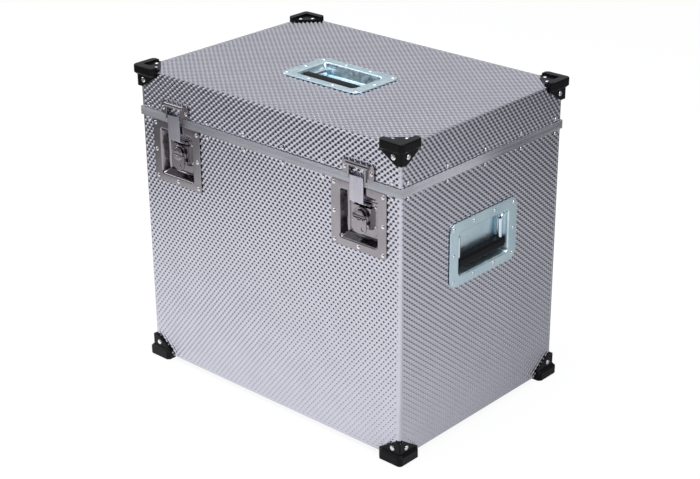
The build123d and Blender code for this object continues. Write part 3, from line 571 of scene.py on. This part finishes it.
def merged_copy(node):
    """A node's mesh with its loose triangles joined into whole faces."""
    mesh = bmesh.new()
    mesh.from_mesh(nodes[node].data)
    bmesh.ops.remove_doubles(mesh, verts=mesh.verts, dist=MERGE)
    bmesh.ops.dissolve_limit(mesh, angle_limit=FLAT, verts=mesh.verts, edges=mesh.edges)
    return mesh


def smoothed(piece):
    """Shades a piece smooth where it bends and flat where it is flat."""
    piece.data.shade_smooth()
    normals = piece.modifiers.new("flats", "WEIGHTED_NORMAL")
    normals.weight = LARGE_FACES
    return baked(piece)


def round_edges(piece, edge, segments):
    """Rounds every edge of a piece by one width."""
    bevel = piece.modifiers.new("round", "BEVEL")
    bevel.width = edge
    bevel.segments = segments
    bevel.limit_method = "ANGLE"
    bevel.angle_limit = CREASE
    return smoothed(baked(piece))


def softened(node, edge, material, body, slot, ending="_form", segments=2):
    """A copy of a node with rounded edges, which stands for it."""
    piece = round_edges(drawn(node + ending, merged_copy(node)), edge, segments)
    return settle(piece, material, body, slot, node)


# %% [markdown]
# ## Trees that grow repeating pieces
#
# What repeats follows a rule, so Geometry Nodes make it: the rule is written
# once and its sizes stay inputs with names. Each tree is run on its own object,
# and its result is kept as a plain mesh.


# %% Growing a tree
SOCKETS = {
    float: "NodeSocketFloat",
    int: "NodeSocketInt",
    tuple: "NodeSocketVector",
    bpy.types.Material: "NodeSocketMaterial",
}


def new_tree(name, takes_mesh, **sizes):
    """A geometry tree with named inputs: (tree, its input node)."""
    tree = bpy.data.node_groups.new(name, "GeometryNodeTree")
    tree.interface.new_socket("Geometry", in_out="OUTPUT", socket_type="NodeSocketGeometry")
    if takes_mesh:
        tree.interface.new_socket("Geometry", in_out="INPUT", socket_type="NodeSocketGeometry")
    for key, value in sizes.items():
        kind = SOCKETS[type(value)]
        tree.interface.new_socket(key, in_out="INPUT", socket_type=kind)
    return tree, tree.nodes.new("NodeGroupInput")


def end_tree(tree, geometry, material):
    """Ends a tree: real geometry, smooth, with its material."""
    real = add(tree, "GeometryNodeRealizeInstances", {0: geometry}).outputs[0]
    smooth = add(tree, "GeometryNodeSetShadeSmooth", {"Geometry": real}).outputs[0]
    done = add(tree, "GeometryNodeSetMaterial", {"Geometry": smooth, "Material": material})
    tree.links.new(done.outputs[0], tree.nodes.new("NodeGroupOutput").inputs[0])


def grown(piece, tree, **values):
    """Runs a tree on a piece and bakes what it makes."""
    modifier = piece.modifiers.new("grow", "NODES")
    modifier.node_group = tree
    for item in tree.interface.items_tree:
        if item.in_out == "INPUT" and item.name in values:
            modifier[item.identifier] = values[item.name]
    return baked(piece)


# %% [markdown]
# ## The embossed cladding
#
# The cladding is aluminium sheet rolled with rows of small round bumps, one at
# each corner and one in the middle of every 10.5 by 8.6 mm cell. A bump map
# alone would look right from afar but would go flat against the light and vanish
# from the exported mesh. So each wall is a fine grid whose points are raised by
# the rule, rounded at its edges, and opened where a fitting sinks in. A grid fine
# enough for the steepest part of every bump would be far too heavy, so the grid
# stores each point's place on the sheet, and the finish sharpens the bumps with
# the same rule.

# %% The rule of the bumps
CELL_LONG = 10.5 * MM
CELL_SHORT = 8.64 * MM
BUMP_R = 3.4 * MM
RELIEF = 0.85 * MM
SHARPENING = 0.45 * MM
SHEET_WAVE_HEIGHT = 0.1 * MM


def nearest_bump(tree, along, across, shift):
    """The distance to the nearest bump of one of the two interleaved rows."""
    parts = []
    for value, cell in ((along, CELL_LONG), (across, CELL_SHORT)):
        step = calc(tree, "ADD", calc(tree, "DIVIDE", value, cell), shift)
        off = calc(tree, "SUBTRACT", step, calc(tree, "ROUND", step))
        parts.append(calc(tree, "MULTIPLY", off, cell))
    point = add(tree, "ShaderNodeCombineXYZ", {0: parts[0], 1: parts[1]}).outputs[0]
    return vector_calc(tree, "LENGTH", point)


def bump_height(tree, along, across, radius):
    """1 on top of a bump, 0 between the bumps."""
    near = nearest_bump(tree, along, across, 0.0)
    other = nearest_bump(tree, along, across, 0.5)
    nearest = calc(tree, "DIVIDE", calc(tree, "MINIMUM", near, other), radius)
    square = calc(tree, "MULTIPLY", nearest, nearest)
    dome = calc(tree, "MAXIMUM", calc(tree, "SUBTRACT", 1.0, square), 0.0)
    return calc(tree, "MULTIPLY", dome, dome)


def embossed_finish():
    """Bright sheet, whose bumps are sharpened where the grid is too coarse."""
    pale, deep = (0.615, 0.615, 0.70), (0.585, 0.585, 0.67)
    material = metal("embossed_aluminium", pale, deep, 0.16, SHEET_WAVE_HEIGHT)
    tree = material.node_tree
    shader = tree.nodes["Principled BSDF"]
    place = add(tree, "ShaderNodeAttribute", attribute_name="sheet").outputs["Vector"]
    split = add(tree, "ShaderNodeSeparateXYZ", {0: place})
    dome = bump_height(tree, split.outputs["X"], split.outputs["Y"], BUMP_R)
    height = calc(tree, "MULTIPLY", dome, split.outputs["Z"])
    waves = shader.inputs["Normal"].links[0].from_socket
    raise_bump(tree, shader, height, SHARPENING, under=waves)
    return material


SHEET = embossed_finish()
print("bumps", round(CELL_LONG / MM, 2), "by", round(CELL_SHORT / MM, 2), "mm apart")

# %% [markdown]
# One tree draws any wall. At each edge the sheet falls away in a quarter of a
# round fold, where the bumps are pressed flat, and up to two rectangles are left
# out for the fittings.

# %% The embossed sheet's tree
FOLD_R = 1.2 * MM
SEAM_FOLD_R = 5.0 * MM
FOLD_SHARE = 1 - sqrt(0.5)
FLAT_IN_FOLD = 0.6
FLATTENED = 1.0 * MM
STEPS_PER_CELL = 6


def inside_opening(tree, place, middle, half_size):
    """1 inside a rectangle, 0 outside it."""
    gap = vector_calc(tree, "ABSOLUTE", vector_calc(tree, "SUBTRACT", place, middle))
    room = vector_calc(tree, "SUBTRACT", half_size, gap)
    split = add(tree, "ShaderNodeSeparateXYZ", {0: room})
    nearer = calc(tree, "MINIMUM", split.outputs["X"], split.outputs["Y"])
    return calc(tree, "GREATER_THAN", nearer, 0.0)


def folded_edge(tree, value, size, radius):
    """(the fall of a rounded edge, how crisp the bumps are: 0 in the fold, 1 inside it)."""
    half = calc(tree, "MULTIPLY", size, 0.5)
    inward = calc(tree, "SUBTRACT", half, calc(tree, "ABSOLUTE", value))
    inward = calc(tree, "ADD", inward, calc(tree, "MULTIPLY", radius, FOLD_SHARE))
    past = calc(tree, "MAXIMUM", calc(tree, "SUBTRACT", radius, inward), 0.0)
    rest = calc(tree, "SUBTRACT", calc(tree, "POWER", radius, 2.0), calc(tree, "POWER", past, 2.0))
    fall = calc(tree, "SUBTRACT", radius, calc(tree, "SQRT", rest))
    start = calc(tree, "MULTIPLY", radius, FLAT_IN_FOLD)
    end = calc(tree, "ADD", radius, FLATTENED)
    return fall, ramp(tree, inward, start, end, 0.0, 1.0)


def embossed_tree():
    tree, given = new_tree(
        "embossed sheet", False, Long=1.0, Short=1.0, PointsLong=2, PointsShort=2,
        BumpRadius=1.0, Relief=1.0, FoldLong=1.0, FoldShort=1.0,
        Opening1=(0.0, 0.0, 0.0), Half1=(0.0, 0.0, 0.0), Opening2=(0.0, 0.0, 0.0),
        Half2=(0.0, 0.0, 0.0), Material=SHEET,
    )
    get = given.outputs
    grid = add(tree, "GeometryNodeMeshGrid", {
        "Size X": get["Long"], "Size Y": get["Short"],
        "Vertices X": get["PointsLong"], "Vertices Y": get["PointsShort"],
    }).outputs["Mesh"]
    place = add(tree, "GeometryNodeInputPosition").outputs[0]
    split = add(tree, "ShaderNodeSeparateXYZ", {0: place})
    along, across = split.outputs["X"], split.outputs["Y"]
    fall_long, crisp_long = folded_edge(tree, along, get["Long"], get["FoldLong"])
    fall_short, crisp_short = folded_edge(tree, across, get["Short"], get["FoldShort"])
    crisp = calc(tree, "MINIMUM", crisp_long, crisp_short)
    hollow = calc(tree, "SUBTRACT", 1.0, bump_height(tree, along, across, get["BumpRadius"]))
    sunk = calc(tree, "MULTIPLY", calc(tree, "MULTIPLY", hollow, crisp), get["Relief"])
    fall = calc(tree, "ADD", sunk, calc(tree, "MAXIMUM", fall_long, fall_short))
    offset = add(tree, "ShaderNodeCombineXYZ", {2: calc(tree, "MULTIPLY", fall, -1.0)}).outputs[0]
    spot = add(tree, "ShaderNodeCombineXYZ", {0: along, 1: across, 2: crisp}).outputs[0]
    marked = add(
        tree, "GeometryNodeStoreNamedAttribute",
        {"Geometry": grid, "Name": "sheet", "Value": spot},
        data_type="FLOAT_VECTOR", domain="POINT",
    ).outputs[0]
    moved = {"Geometry": marked, "Offset": offset}
    relief = add(tree, "GeometryNodeSetPosition", moved).outputs[0]
    first = inside_opening(tree, place, get["Opening1"], get["Half1"])
    second = inside_opening(tree, place, get["Opening2"], get["Half2"])
    opened = add(
        tree, "GeometryNodeDeleteGeometry",
        {"Geometry": relief, "Selection": calc(tree, "MAXIMUM", first, second)}, domain="FACE",
    ).outputs[0]
    end_tree(tree, opened, get["Material"])
    return tree


EMBOSSED = embossed_tree()
print("embossed sheet tree has", len(EMBOSSED.nodes), "nodes")


# %% [markdown]
# The case has ten clad walls. Each one is sized from its skin's box in the frame,
# drawn flat and then carried to its wall, so the sheet always fits the box. The
# long way of the cells runs as on the real sheet: up the front and along the
# sides of the base, and along the front of the lid.

# %% Cladding pieces
PAN_HOLE = (38.5 * MM, 40.0 * MM, 0.0)
DISH_HOLE = (66.5 * MM, 36.5 * MM, 0.0)
FITTINGS = {
    ("base", "front"): (("left_latch_pan", PAN_HOLE), ("right_latch_pan", PAN_HOLE)),
    ("base", "left"): (("left_handle_dish", DISH_HOLE),),
    ("base", "right"): (("right_handle_dish", DISH_HOLE),),
    ("lid", "top"): (("lid_handle_dish", DISH_HOLE),),
}


def clad(body, wall, low, high, long_way_up):
    """One wall of one skin, drawn with the long way of its cells along X."""
    quarter = Matrix.Rotation(pi / 2 if long_way_up else 0.0, 4, "Z")
    middle = wall_frame(wall, (low + high) / 2, low, high) @ quarter
    size = middle.to_3x3().inverted() @ (high - low)
    long, short = abs(size.x), abs(size.y)
    holes = {}
    for number, (node, half_size) in enumerate(FITTINGS.get((body, wall), ()), 1):
        half = quarter.inverted() @ Vector(half_size)
        holes[f"Opening{number}"] = tuple(middle.inverted() @ node_frame(node, wall).translation)
        holes[f"Half{number}"] = (abs(half.x), abs(half.y), 0.0)
    folds = [FOLD_R, FOLD_R] if wall in ("top", "bottom") else [SEAM_FOLD_R, FOLD_R]
    if long_way_up:
        folds.reverse()
    piece = grown(
        new_object(f"{body}_cladding_{wall}", bpy.data.meshes.new("sheet")), EMBOSSED,
        Long=long - 2 * folds[0] * FOLD_SHARE, Short=short - 2 * folds[1] * FOLD_SHARE,
        PointsLong=round(long / CELL_LONG * STEPS_PER_CELL) + 1,
        PointsShort=round(short / CELL_SHORT * STEPS_PER_CELL) + 1,
        BumpRadius=BUMP_R, Relief=RELIEF, FoldLong=folds[0], FoldShort=folds[1],
        Material=SHEET, **holes,
    )
    piece.data.transform(middle)
    return settle(piece, SHEET, body, "embossed_aluminium", f"{body}_skin")


for wall in ("front", "back", "left", "right", "bottom"):
    clad("base", wall, base_low, base_high, wall != "left" and wall != "right")
for wall in ("front", "back", "left", "right", "top"):
    clad("lid", wall, lid_low, lid_high, wall in ("left", "right"))

# %% [markdown]
# ## Rivets
#
# About a hundred and fifty rivets hold the case together. Their heads are low
# domes with a dimple left by the broken-off stem. The model already has a solid
# for each one, so the script reads where each head sits and which way it looks,
# and a tree sets one small dome on every such point.


# %% Where the rivets are
def rivet_spots(node):
    """(seat, outward axis, head radius) of each rivet in a node."""
    mesh = merged_copy(node)
    left = set(mesh.verts)
    spots = []
    while left:
        start = left.pop()
        group = [start]
        for vert in group:
            for edge in vert.link_edges:
                other = edge.other_vert(vert)
                if other in left:
                    left.remove(other)
                    group.append(other)
        points = [vert.co for vert in group]
        low = Vector([min(p[i] for p in points) for i in range(3)])
        high = Vector([max(p[i] for p in points) for i in range(3)])
        size, middle = high - low, (low + high) / 2
        axis = min(range(3), key=lambda i: abs(size[i - 1] - size[i - 2]))
        radius = size[axis - 1] / 2
        rim = [p for p in points if abs(abs(p[axis - 1] - middle[axis - 1]) - radius) < MERGE]
        seat = middle.copy()
        seat[axis] = rim[0][axis]
        outward = Vector()
        outward[axis] = 1 if seat[axis] > middle[axis] else -1
        spots.append((seat, outward, radius))
    mesh.free()
    return spots


# %% The rivet tree
HEAD_HEIGHT = 1.25 * MM
HEAD_SEGMENTS = 14
HEAD_RINGS = 10
HEAD_SUNK = 0.15
DIMPLE_R = 0.42
DIMPLE_DEEP = 0.45


def rivet_tree():
    """Sets a dimpled dome on each point, turned to its aim and sized by its head."""
    tree, given = new_tree("rivet heads", True, Height=1.0, Segments=3, Material=RIVET)
    get = given.outputs
    ball = add(tree, "GeometryNodeMeshUVSphere", {
        "Segments": get["Segments"], "Rings": HEAD_RINGS, "Radius": 1.0,
    })
    place = add(tree, "GeometryNodeInputPosition").outputs[0]
    split = add(tree, "ShaderNodeSeparateXYZ", {0: place})
    flat = add(tree, "ShaderNodeCombineXYZ", {
        0: split.outputs["X"], 1: split.outputs["Y"],
    }).outputs[0]
    reach = vector_calc(tree, "LENGTH", flat)
    above = calc(tree, "GREATER_THAN", split.outputs["Z"], 0.0)
    dimple = ramp(tree, reach, 0.0, DIMPLE_R, DIMPLE_DEEP, 0.0)
    top = calc(tree, "SUBTRACT", split.outputs["Z"], dimple)
    under = calc(tree, "MULTIPLY", split.outputs["Z"], HEAD_SUNK)
    sides = {"Switch": above, "False": under, "True": top}
    height = add(tree, "GeometryNodeSwitch", sides, input_type="FLOAT")
    shaped = add(tree, "ShaderNodeCombineXYZ", {
        0: split.outputs["X"], 1: split.outputs["Y"], 2: height.outputs[0],
    }).outputs[0]
    head = add(tree, "GeometryNodeSetPosition", {
        "Geometry": ball.outputs["Mesh"], "Position": shaped,
    })
    aim = add(tree, "GeometryNodeInputNamedAttribute", {"Name": "aim"}, data_type="FLOAT_VECTOR")
    turn = add(tree, "FunctionNodeAlignRotationToVector", {"Vector": aim.outputs[0]}, axis="Z")
    size = add(tree, "GeometryNodeInputNamedAttribute", {"Name": "head"}, data_type="FLOAT")
    scale = add(tree, "ShaderNodeCombineXYZ", {
        0: size.outputs[0], 1: size.outputs[0], 2: get["Height"],
    }).outputs[0]
    placed = add(tree, "GeometryNodeInstanceOnPoints", {
        "Points": get["Geometry"], "Instance": head.outputs[0],
        "Rotation": turn.outputs[0], "Scale": scale,
    })
    end_tree(tree, placed.outputs[0], get["Material"])
    return tree


RIVETED = rivet_tree()


def rivet_heads(body, node):
    """All the heads of one half, as one piece."""
    spots = rivet_spots(node)
    mesh = bpy.data.meshes.new(node)
    mesh.from_pydata([spot[0] for spot in spots], [], [])
    mesh.attributes.new("aim", "FLOAT_VECTOR", "POINT")
    mesh.attributes.new("head", "FLOAT", "POINT")
    for number, (_, outward, radius) in enumerate(spots):
        mesh.attributes["aim"].data[number].vector = outward
        mesh.attributes["head"].data[number].value = radius
    piece = new_object(node + "_heads", mesh)
    grown(piece, RIVETED, Height=HEAD_HEIGHT, Segments=HEAD_SEGMENTS, Material=RIVET)
    print(len(spots), "rivets in the", body)
    return settle(piece, RIVET, body, "rivet_metal", node)


rivet_heads("base", "base_rivets")
rivet_heads("lid", "lid_rivets")

# %% [markdown]
# ## Rims and corners
#
# The rims are extruded aluminium and the corners are moulded plastic. Their
# forms in the model are right, with the mitres, the fillets and the stacking
# recess, so they only need the small radius that extrusion and moulding leave.

# %% Rims and corners
RIM_EDGE = 0.25 * MM
CORNER_EDGE = 1.1 * MM

softened("base_rim", RIM_EDGE, EXTRUDED, "base", "rim_aluminium")
softened("lid_rim", RIM_EDGE, EXTRUDED, "lid", "rim_aluminium")
for end in ("front", "back"):
    for side in ("left", "right"):
        softened(f"foot_{end}_{side}", CORNER_EDGE, CORNER, "base", "corner_plastic")
        softened(f"lid_corner_{end}_{side}", CORNER_EDGE, CORNER, "lid", "corner_plastic")

# %% [markdown]
# ## Pressed pans and dishes
#
# Each latch sits in a pan and each handle in a dish, pressed from one sheet. A
# box cut with a smaller box has hard corners that no press can make. The sheet is
# lofted instead through rounded rectangles, from the middle of the floor up the
# sloping wall, over the rolled mouth to the flange's edge, and back underneath.
# Every ring is the mouth's outline moved in or out, so the wall slopes evenly
# round the corners too.


# %% Lofting a pressed sheet
LOOP_STEPS = 6
ROLL_STEPS = 5
LEAST_CORNER = 0.4 * MM
FLANGE_EDGE = 0.3


def rounded_loop(width, height, radius, z, shift=0.0):
    """Points round a rounded rectangle, counterclockwise from outside."""
    points = []
    for quarter, (sx, sy) in enumerate(((1, 1), (-1, 1), (-1, -1), (1, -1))):
        for step in range(LOOP_STEPS + 1):
            angle = (quarter + step / LOOP_STEPS) * pi / 2
            x = sx * (width / 2 - radius) + radius * cos(angle)
            y = sy * (height / 2 - radius) + radius * sin(angle)
            points.append(Vector((x, y + shift, z)))
    return points


def loft(loops):
    """A closed mesh through loops of equal length, capped at both ends."""
    mesh = bmesh.new()
    rings = [[mesh.verts.new(point) for point in loop] for loop in loops]
    count = len(rings[0])
    for inner, outer in zip(rings, rings[1:]):
        for i in range(count):
            j = (i + 1) % count
            mesh.faces.new((inner[i], outer[i], outer[j], inner[j]))
    mesh.faces.new(rings[0])
    mesh.faces.new(reversed(rings[-1]))
    bmesh.ops.remove_doubles(mesh, verts=mesh.verts, dist=MERGE)
    bmesh.ops.recalc_face_normals(mesh, faces=mesh.faces)
    return mesh


def pressed_section(depth, taper, mouth_roll, floor_roll):
    """(inset from the mouth's outline, height) from the floor out to the flange."""
    lean = tan(taper)
    points = []
    start = depth * lean
    for step in range(ROLL_STEPS + 1):
        angle = step / ROLL_STEPS * (pi / 2 - taper)
        inset = start + floor_roll * (1 - sin(angle))
        points.append((inset, -depth + floor_roll * (1 - cos(angle))))
    for step in range(ROLL_STEPS + 1):
        angle = (1 - step / ROLL_STEPS) * (pi / 2 - taper)
        points.append((-mouth_roll * (1 - sin(angle)), -mouth_roll * (1 - cos(angle))))
    return points


def pressed_sheet(name, outer, mouth, depth, taper, thick, rolls, down=0.0):
    """A pressed sheet with a flange: outer and mouth are (width, height, radius)."""
    width, height, radius = mouth
    section = pressed_section(depth, taper, *rolls)

    def ring(inset, z, grow=0.0):
        e = grow - inset
        corner = max(radius + e, LEAST_CORNER)
        return rounded_loop(width + 2 * e, height + 2 * e, corner, z, -down)

    edge = thick * FLANGE_EDGE
    loops = [ring(inset, z + thick) for inset, z in section]
    loops += [rounded_loop(outer[0] - 2 * edge, outer[1] - 2 * edge, outer[2] - edge, thick)]
    loops += [rounded_loop(*outer, thick - edge), rounded_loop(*outer, 0)]
    loops += [ring(inset, z, thick) for inset, z in reversed(section)]
    return smoothed(drawn(name, loft(loops)))


# %% Latch pans
PAN_SHEET = 1.2 * MM
PAN_CORNER = 4.0 * MM
PAN_MOUTH = (69.0 * MM, 72.0 * MM, 4.0 * MM)
PAN_DEPTH = 12.5 * MM
PAN_TAPER = radians(15)
PAN_ROLLS = (2.2 * MM, 3.8 * MM)
SIDES = ("left", "right")

for side in SIDES:
    node = f"{side}_latch_pan"
    low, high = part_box(node)
    outer = (high.x - low.x, high.z - low.z, PAN_CORNER)
    pan = pressed_sheet(
        f"{side}_latch_pan_sheet", outer, PAN_MOUTH, PAN_DEPTH + PAN_SHEET, PAN_TAPER,
        PAN_SHEET, PAN_ROLLS,
    )
    pan.data.transform(node_frame(node, "front"))
    settle(pan, NICKEL, "base", "latch_steel", node)

# %% [markdown]
# A dish is drawn like a pan. The press also leaves two small square marks in its
# floor. They could be a bump, but an exported mesh would lose them, so they are
# cut from the lofted sheet.

# %% Handle dishes
DISH_SHEET = 1.5 * MM
DISH_CORNER = 14.0 * MM
DISH_MOUTH = (114.0 * MM, 66.0 * MM, 6.0 * MM)
DISH_DEPTH = 16.0 * MM
DISH_TAPER = radians(12)
DISH_ROLLS = (2.4 * MM, 2.6 * MM)
DISH_DOWN = 1.0 * MM
HANDLES = {"left": ("left", "base"), "right": ("right", "base"), "lid": ("top", "lid")}
MARK_W = 5.0 * MM
MARK_DEPTH = 0.5 * MM
MARK_U = 15.5 * MM
MARK_UP = 11.0 * MM


def press_marks(tray):
    """Sinks two small square marks into the floor of a dish."""
    shape = bmesh.new()
    for side in (-1, 1):
        spot = Matrix.Translation((side * MARK_U, MARK_UP, -DISH_DEPTH))
        size = Matrix.Diagonal((MARK_W, MARK_W, 2 * MARK_DEPTH, 1))
        bmesh.ops.create_cube(shape, size=1.0, matrix=spot @ size)
    marks = drawn("marks", shape)
    cut = tray.modifiers.new("marks", "BOOLEAN")
    cut.object = marks
    cut.solver = "EXACT"
    baked(tray)
    bpy.data.objects.remove(marks)


for name, (wall, body) in HANDLES.items():
    node = f"{name}_handle_dish"
    place = node_frame(node, wall)
    low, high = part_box(node)
    size = place.to_3x3().inverted() @ (high - low)
    outer = (abs(size.x), abs(size.y), DISH_CORNER)
    tray = pressed_sheet(
        f"{name}_handle_dish_sheet", outer, DISH_MOUTH, DISH_DEPTH + DISH_SHEET, DISH_TAPER,
        DISH_SHEET, DISH_ROLLS, DISH_DOWN,
    )
    press_marks(tray)
    smoothed(tray)
    tray.data.transform(place)
    settle(tray, ZINC, body, "zinc_plate", node)

# %% [markdown]
# ## Latches and keepers
#
# These are stamped and turned steel parts whose forms the model already has. Each
# becomes a copy with rounded edges in its own finish, tied to its own body, so
# that the knob turns, the wing folds on it and the link swings.
#
# A low round boss stands on the middle of the knob. It could be one turned disc,
# but the wing has to fold away from it, so its hinge divides the boss: the lower
# half rides on the wing, and the upper half stays on the knob. Each half is cut
# with one plane from the same lofted disc.


# %% Half a boss
HUB_UP = 2.0 * MM
BOSS_R = 10.5 * MM
BOSS_RISE = 1.2 * MM
BOSS_SUNK = 0.1 * MM
BOSS_EDGE = 0.8 * MM
BOSS_CROWN = 0.3 * MM
KNOB_FRONT = -2.9 * MM
WING_FRONT = -0.7 * MM
HALVES = (("wing", WING_FRONT, 0.6 * MM, -1), ("knob", KNOB_FRONT, 5.6 * MM, 1))


def half_boss(name, front, cut, keep):
    """The part of the boss above (keep 1) or below (keep -1) a height."""
    top = WING_FRONT + BOSS_RISE
    # Its straight side, a rounded edge and a face that rises a little to the middle.
    rings = [(BOSS_R, front - BOSS_SUNK), (BOSS_R, top - BOSS_EDGE)]
    rings += [(BOSS_R - 0.3 * BOSS_EDGE, top - 0.3 * BOSS_EDGE), (BOSS_R - BOSS_EDGE, top)]
    rings += [(0.5 * BOSS_R, top + 0.75 * BOSS_CROWN), (0.1 * BOSS_R, top + BOSS_CROWN)]
    shape = loft([rounded_loop(2 * r, 2 * r, r, z, HUB_UP) for r, z in reversed(rings)])
    everything = list(shape.verts) + list(shape.edges) + list(shape.faces)
    bmesh.ops.bisect_plane(
        shape, geom=everything, plane_co=(0, cut, 0), plane_no=(0, keep, 0), clear_inner=True,
    )
    bmesh.ops.holes_fill(shape, edges=[edge for edge in shape.edges if edge.is_boundary])
    bmesh.ops.recalc_face_normals(shape, faces=shape.faces)
    return smoothed(drawn(name, shape))


# %% Latches and keepers
STAMPED_EDGE = 0.3 * MM

for side in SIDES:
    latch = f"{side}_latch"
    softened(f"{latch}_body", STAMPED_EDGE, NICKEL, "base", "latch_steel")
    softened(f"{side}_keeper", STAMPED_EDGE, NICKEL, "lid", "latch_steel")
    softened(f"{latch}_carrier", STAMPED_EDGE, NICKEL, f"{latch}_carrier", "latch_steel")
    softened(f"{latch}_link", STAMPED_EDGE, LINK, f"{latch}_link", "link_steel")
    softened(f"{latch}_knob", STAMPED_EDGE, NICKEL, f"{latch}_knob", "latch_steel")
    softened(f"{latch}_wing", STAMPED_EDGE, NICKEL, f"{latch}_wing", "latch_steel")
    for part, front, cut, keep in HALVES:
        boss = half_boss(f"{latch}_{part}_boss", front, cut, keep)
        boss.data.transform(node_frame(f"{latch}_pan", "front"))
        settle(boss, NICKEL, f"{latch}_{part}", "latch_steel", f"{latch}_{part}")

# %% [markdown]
# ## Handles
#
# A handle is a bail bent from round rod with a moulded grip over its middle. The
# two are separate pieces in their own finishes, and ride on one body, so they
# lift together.

# %% Handles
GRIP_EDGE = 0.8 * MM

for name in HANDLES:
    softened(f"{name}_handle_bail", STAMPED_EDGE, ROD, f"{name}_handle", "bright_rod")
    softened(f"{name}_handle_grip", GRIP_EDGE, GRIP, f"{name}_handle", "grip_plastic")

# %% [markdown]
# A torsion spring on each end of a bail folds the handle back into its dish. A
# helix is a rule, so a tree draws it: a spiral curve swept with a round wire.


# %% Handle springs
SPRING_WIRE = 1.2 * MM
SPRING_TURNS = 3.0
SPRING_PITCH = 1.25 * SPRING_WIRE
SPRING_CLEAR = 0.4 * MM
SPIRAL_STEPS = 28
WIRE_SIDES = 8
BAIL_D = 8.0 * MM
BAIL_END = 65.0 * MM
BAIL_SINK = 8.0 * MM
PIVOT_UP = 24.0 * MM


def spring_tree():
    tree, given = new_tree(
        "torsion spring", False, Radius=1.0, Wire=1.0, Turns=1.0, Length=1.0, Material=WIRE,
    )
    get = given.outputs
    spiral = add(tree, "GeometryNodeCurveSpiral", {
        "Resolution": SPIRAL_STEPS, "Rotations": get["Turns"], "Start Radius": get["Radius"],
        "End Radius": get["Radius"], "Height": get["Length"],
    }).outputs[0]
    wire = add(tree, "GeometryNodeCurvePrimitiveCircle", {
        "Resolution": WIRE_SIDES, "Radius": get["Wire"],
    })
    coil = add(tree, "GeometryNodeCurveToMesh", {
        "Curve": spiral, "Profile Curve": wire.outputs["Curve"], "Fill Caps": True,
    })
    end_tree(tree, coil.outputs[0], get["Material"])
    return tree


SPRUNG = spring_tree()
for name, (wall, body) in HANDLES.items():
    both = bmesh.new()
    for sign in (-1, 1):
        coil = grown(
            new_object("coil", bpy.data.meshes.new("coil")), SPRUNG,
            Radius=BAIL_D / 2 + SPRING_CLEAR + SPRING_WIRE / 2, Wire=SPRING_WIRE / 2,
            Turns=SPRING_TURNS, Length=SPRING_TURNS * SPRING_PITCH, Material=WIRE,
        )
        seat = Vector((sign * (BAIL_END - SPRING_WIRE / 2), PIVOT_UP, -BAIL_SINK))
        coil.data.transform(Matrix.Translation(seat) @ Matrix.Rotation(-sign * pi / 2, 4, "Y"))
        both.from_mesh(coil.data)
        bpy.data.objects.remove(coil)
    coils = drawn(f"{name}_handle_coils", both)
    coils.data.transform(node_frame(f"{name}_handle_dish", wall))
    settle(coils, WIRE, body, "spring_wire", f"{name}_handle_springs")

# %% [markdown]
# ## Hinges
#
# Each hinge is two stamped leaves with rolled knuckles on one pin. The upper leaf
# lifts with the lid, and the pins stay with the base.

# %% Hinges
for side in SIDES:
    softened(f"{side}_hinge_lower_leaf", STAMPED_EDGE, HINGE, "base", "hinge_steel")
    softened(f"{side}_hinge_upper_leaf", STAMPED_EDGE, HINGE, "lid", "hinge_steel")
softened("hinge_pins", STAMPED_EDGE, HINGE, "base", "hinge_steel")

# %% [markdown]
# ## The lining
#
# The lining is cut from blocks of open-cell foam. A cushion would be swelled by
# a cloth simulation, but firm cut foam keeps its flat faces, so each pad only
# gets a wide rounded edge. The finish adds the open cells and the slight waves
# that a hot wire leaves.

# %% Foam pads
FOAM_EDGE = 2.5 * MM
FOAM_EDGE_STEPS = 3
PADS = {"foam_floor_pad": "base", "foam_wall_pads": "base", "lid_foam_pad": "lid"}

for node, body in PADS.items():
    piece = softened(node, FOAM_EDGE, FOAM, body, "foam", "_cut", FOAM_EDGE_STEPS)

# %% [markdown]
# ## The plywood
#
# The panels hide between the cladding and the lining. Only their edges and the
# backs of the openings can be seen, so nothing is drawn anew: the model's own
# panels stay and take the plywood finish.

# %% Panels
for name, node in nodes.items():
    if name.endswith("_panel"):
        node.data.materials.clear()
        node.data.materials.append(PLYWOOD)
print(sum(name.endswith("_panel") for name in nodes), "panels")

# %% [markdown]
# ## The size
#
# The dressed case has to fill the same box as the model. Here the box of the
# dressed case is measured, leaving out the floor.

# %% Boxes, and the end
low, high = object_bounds()
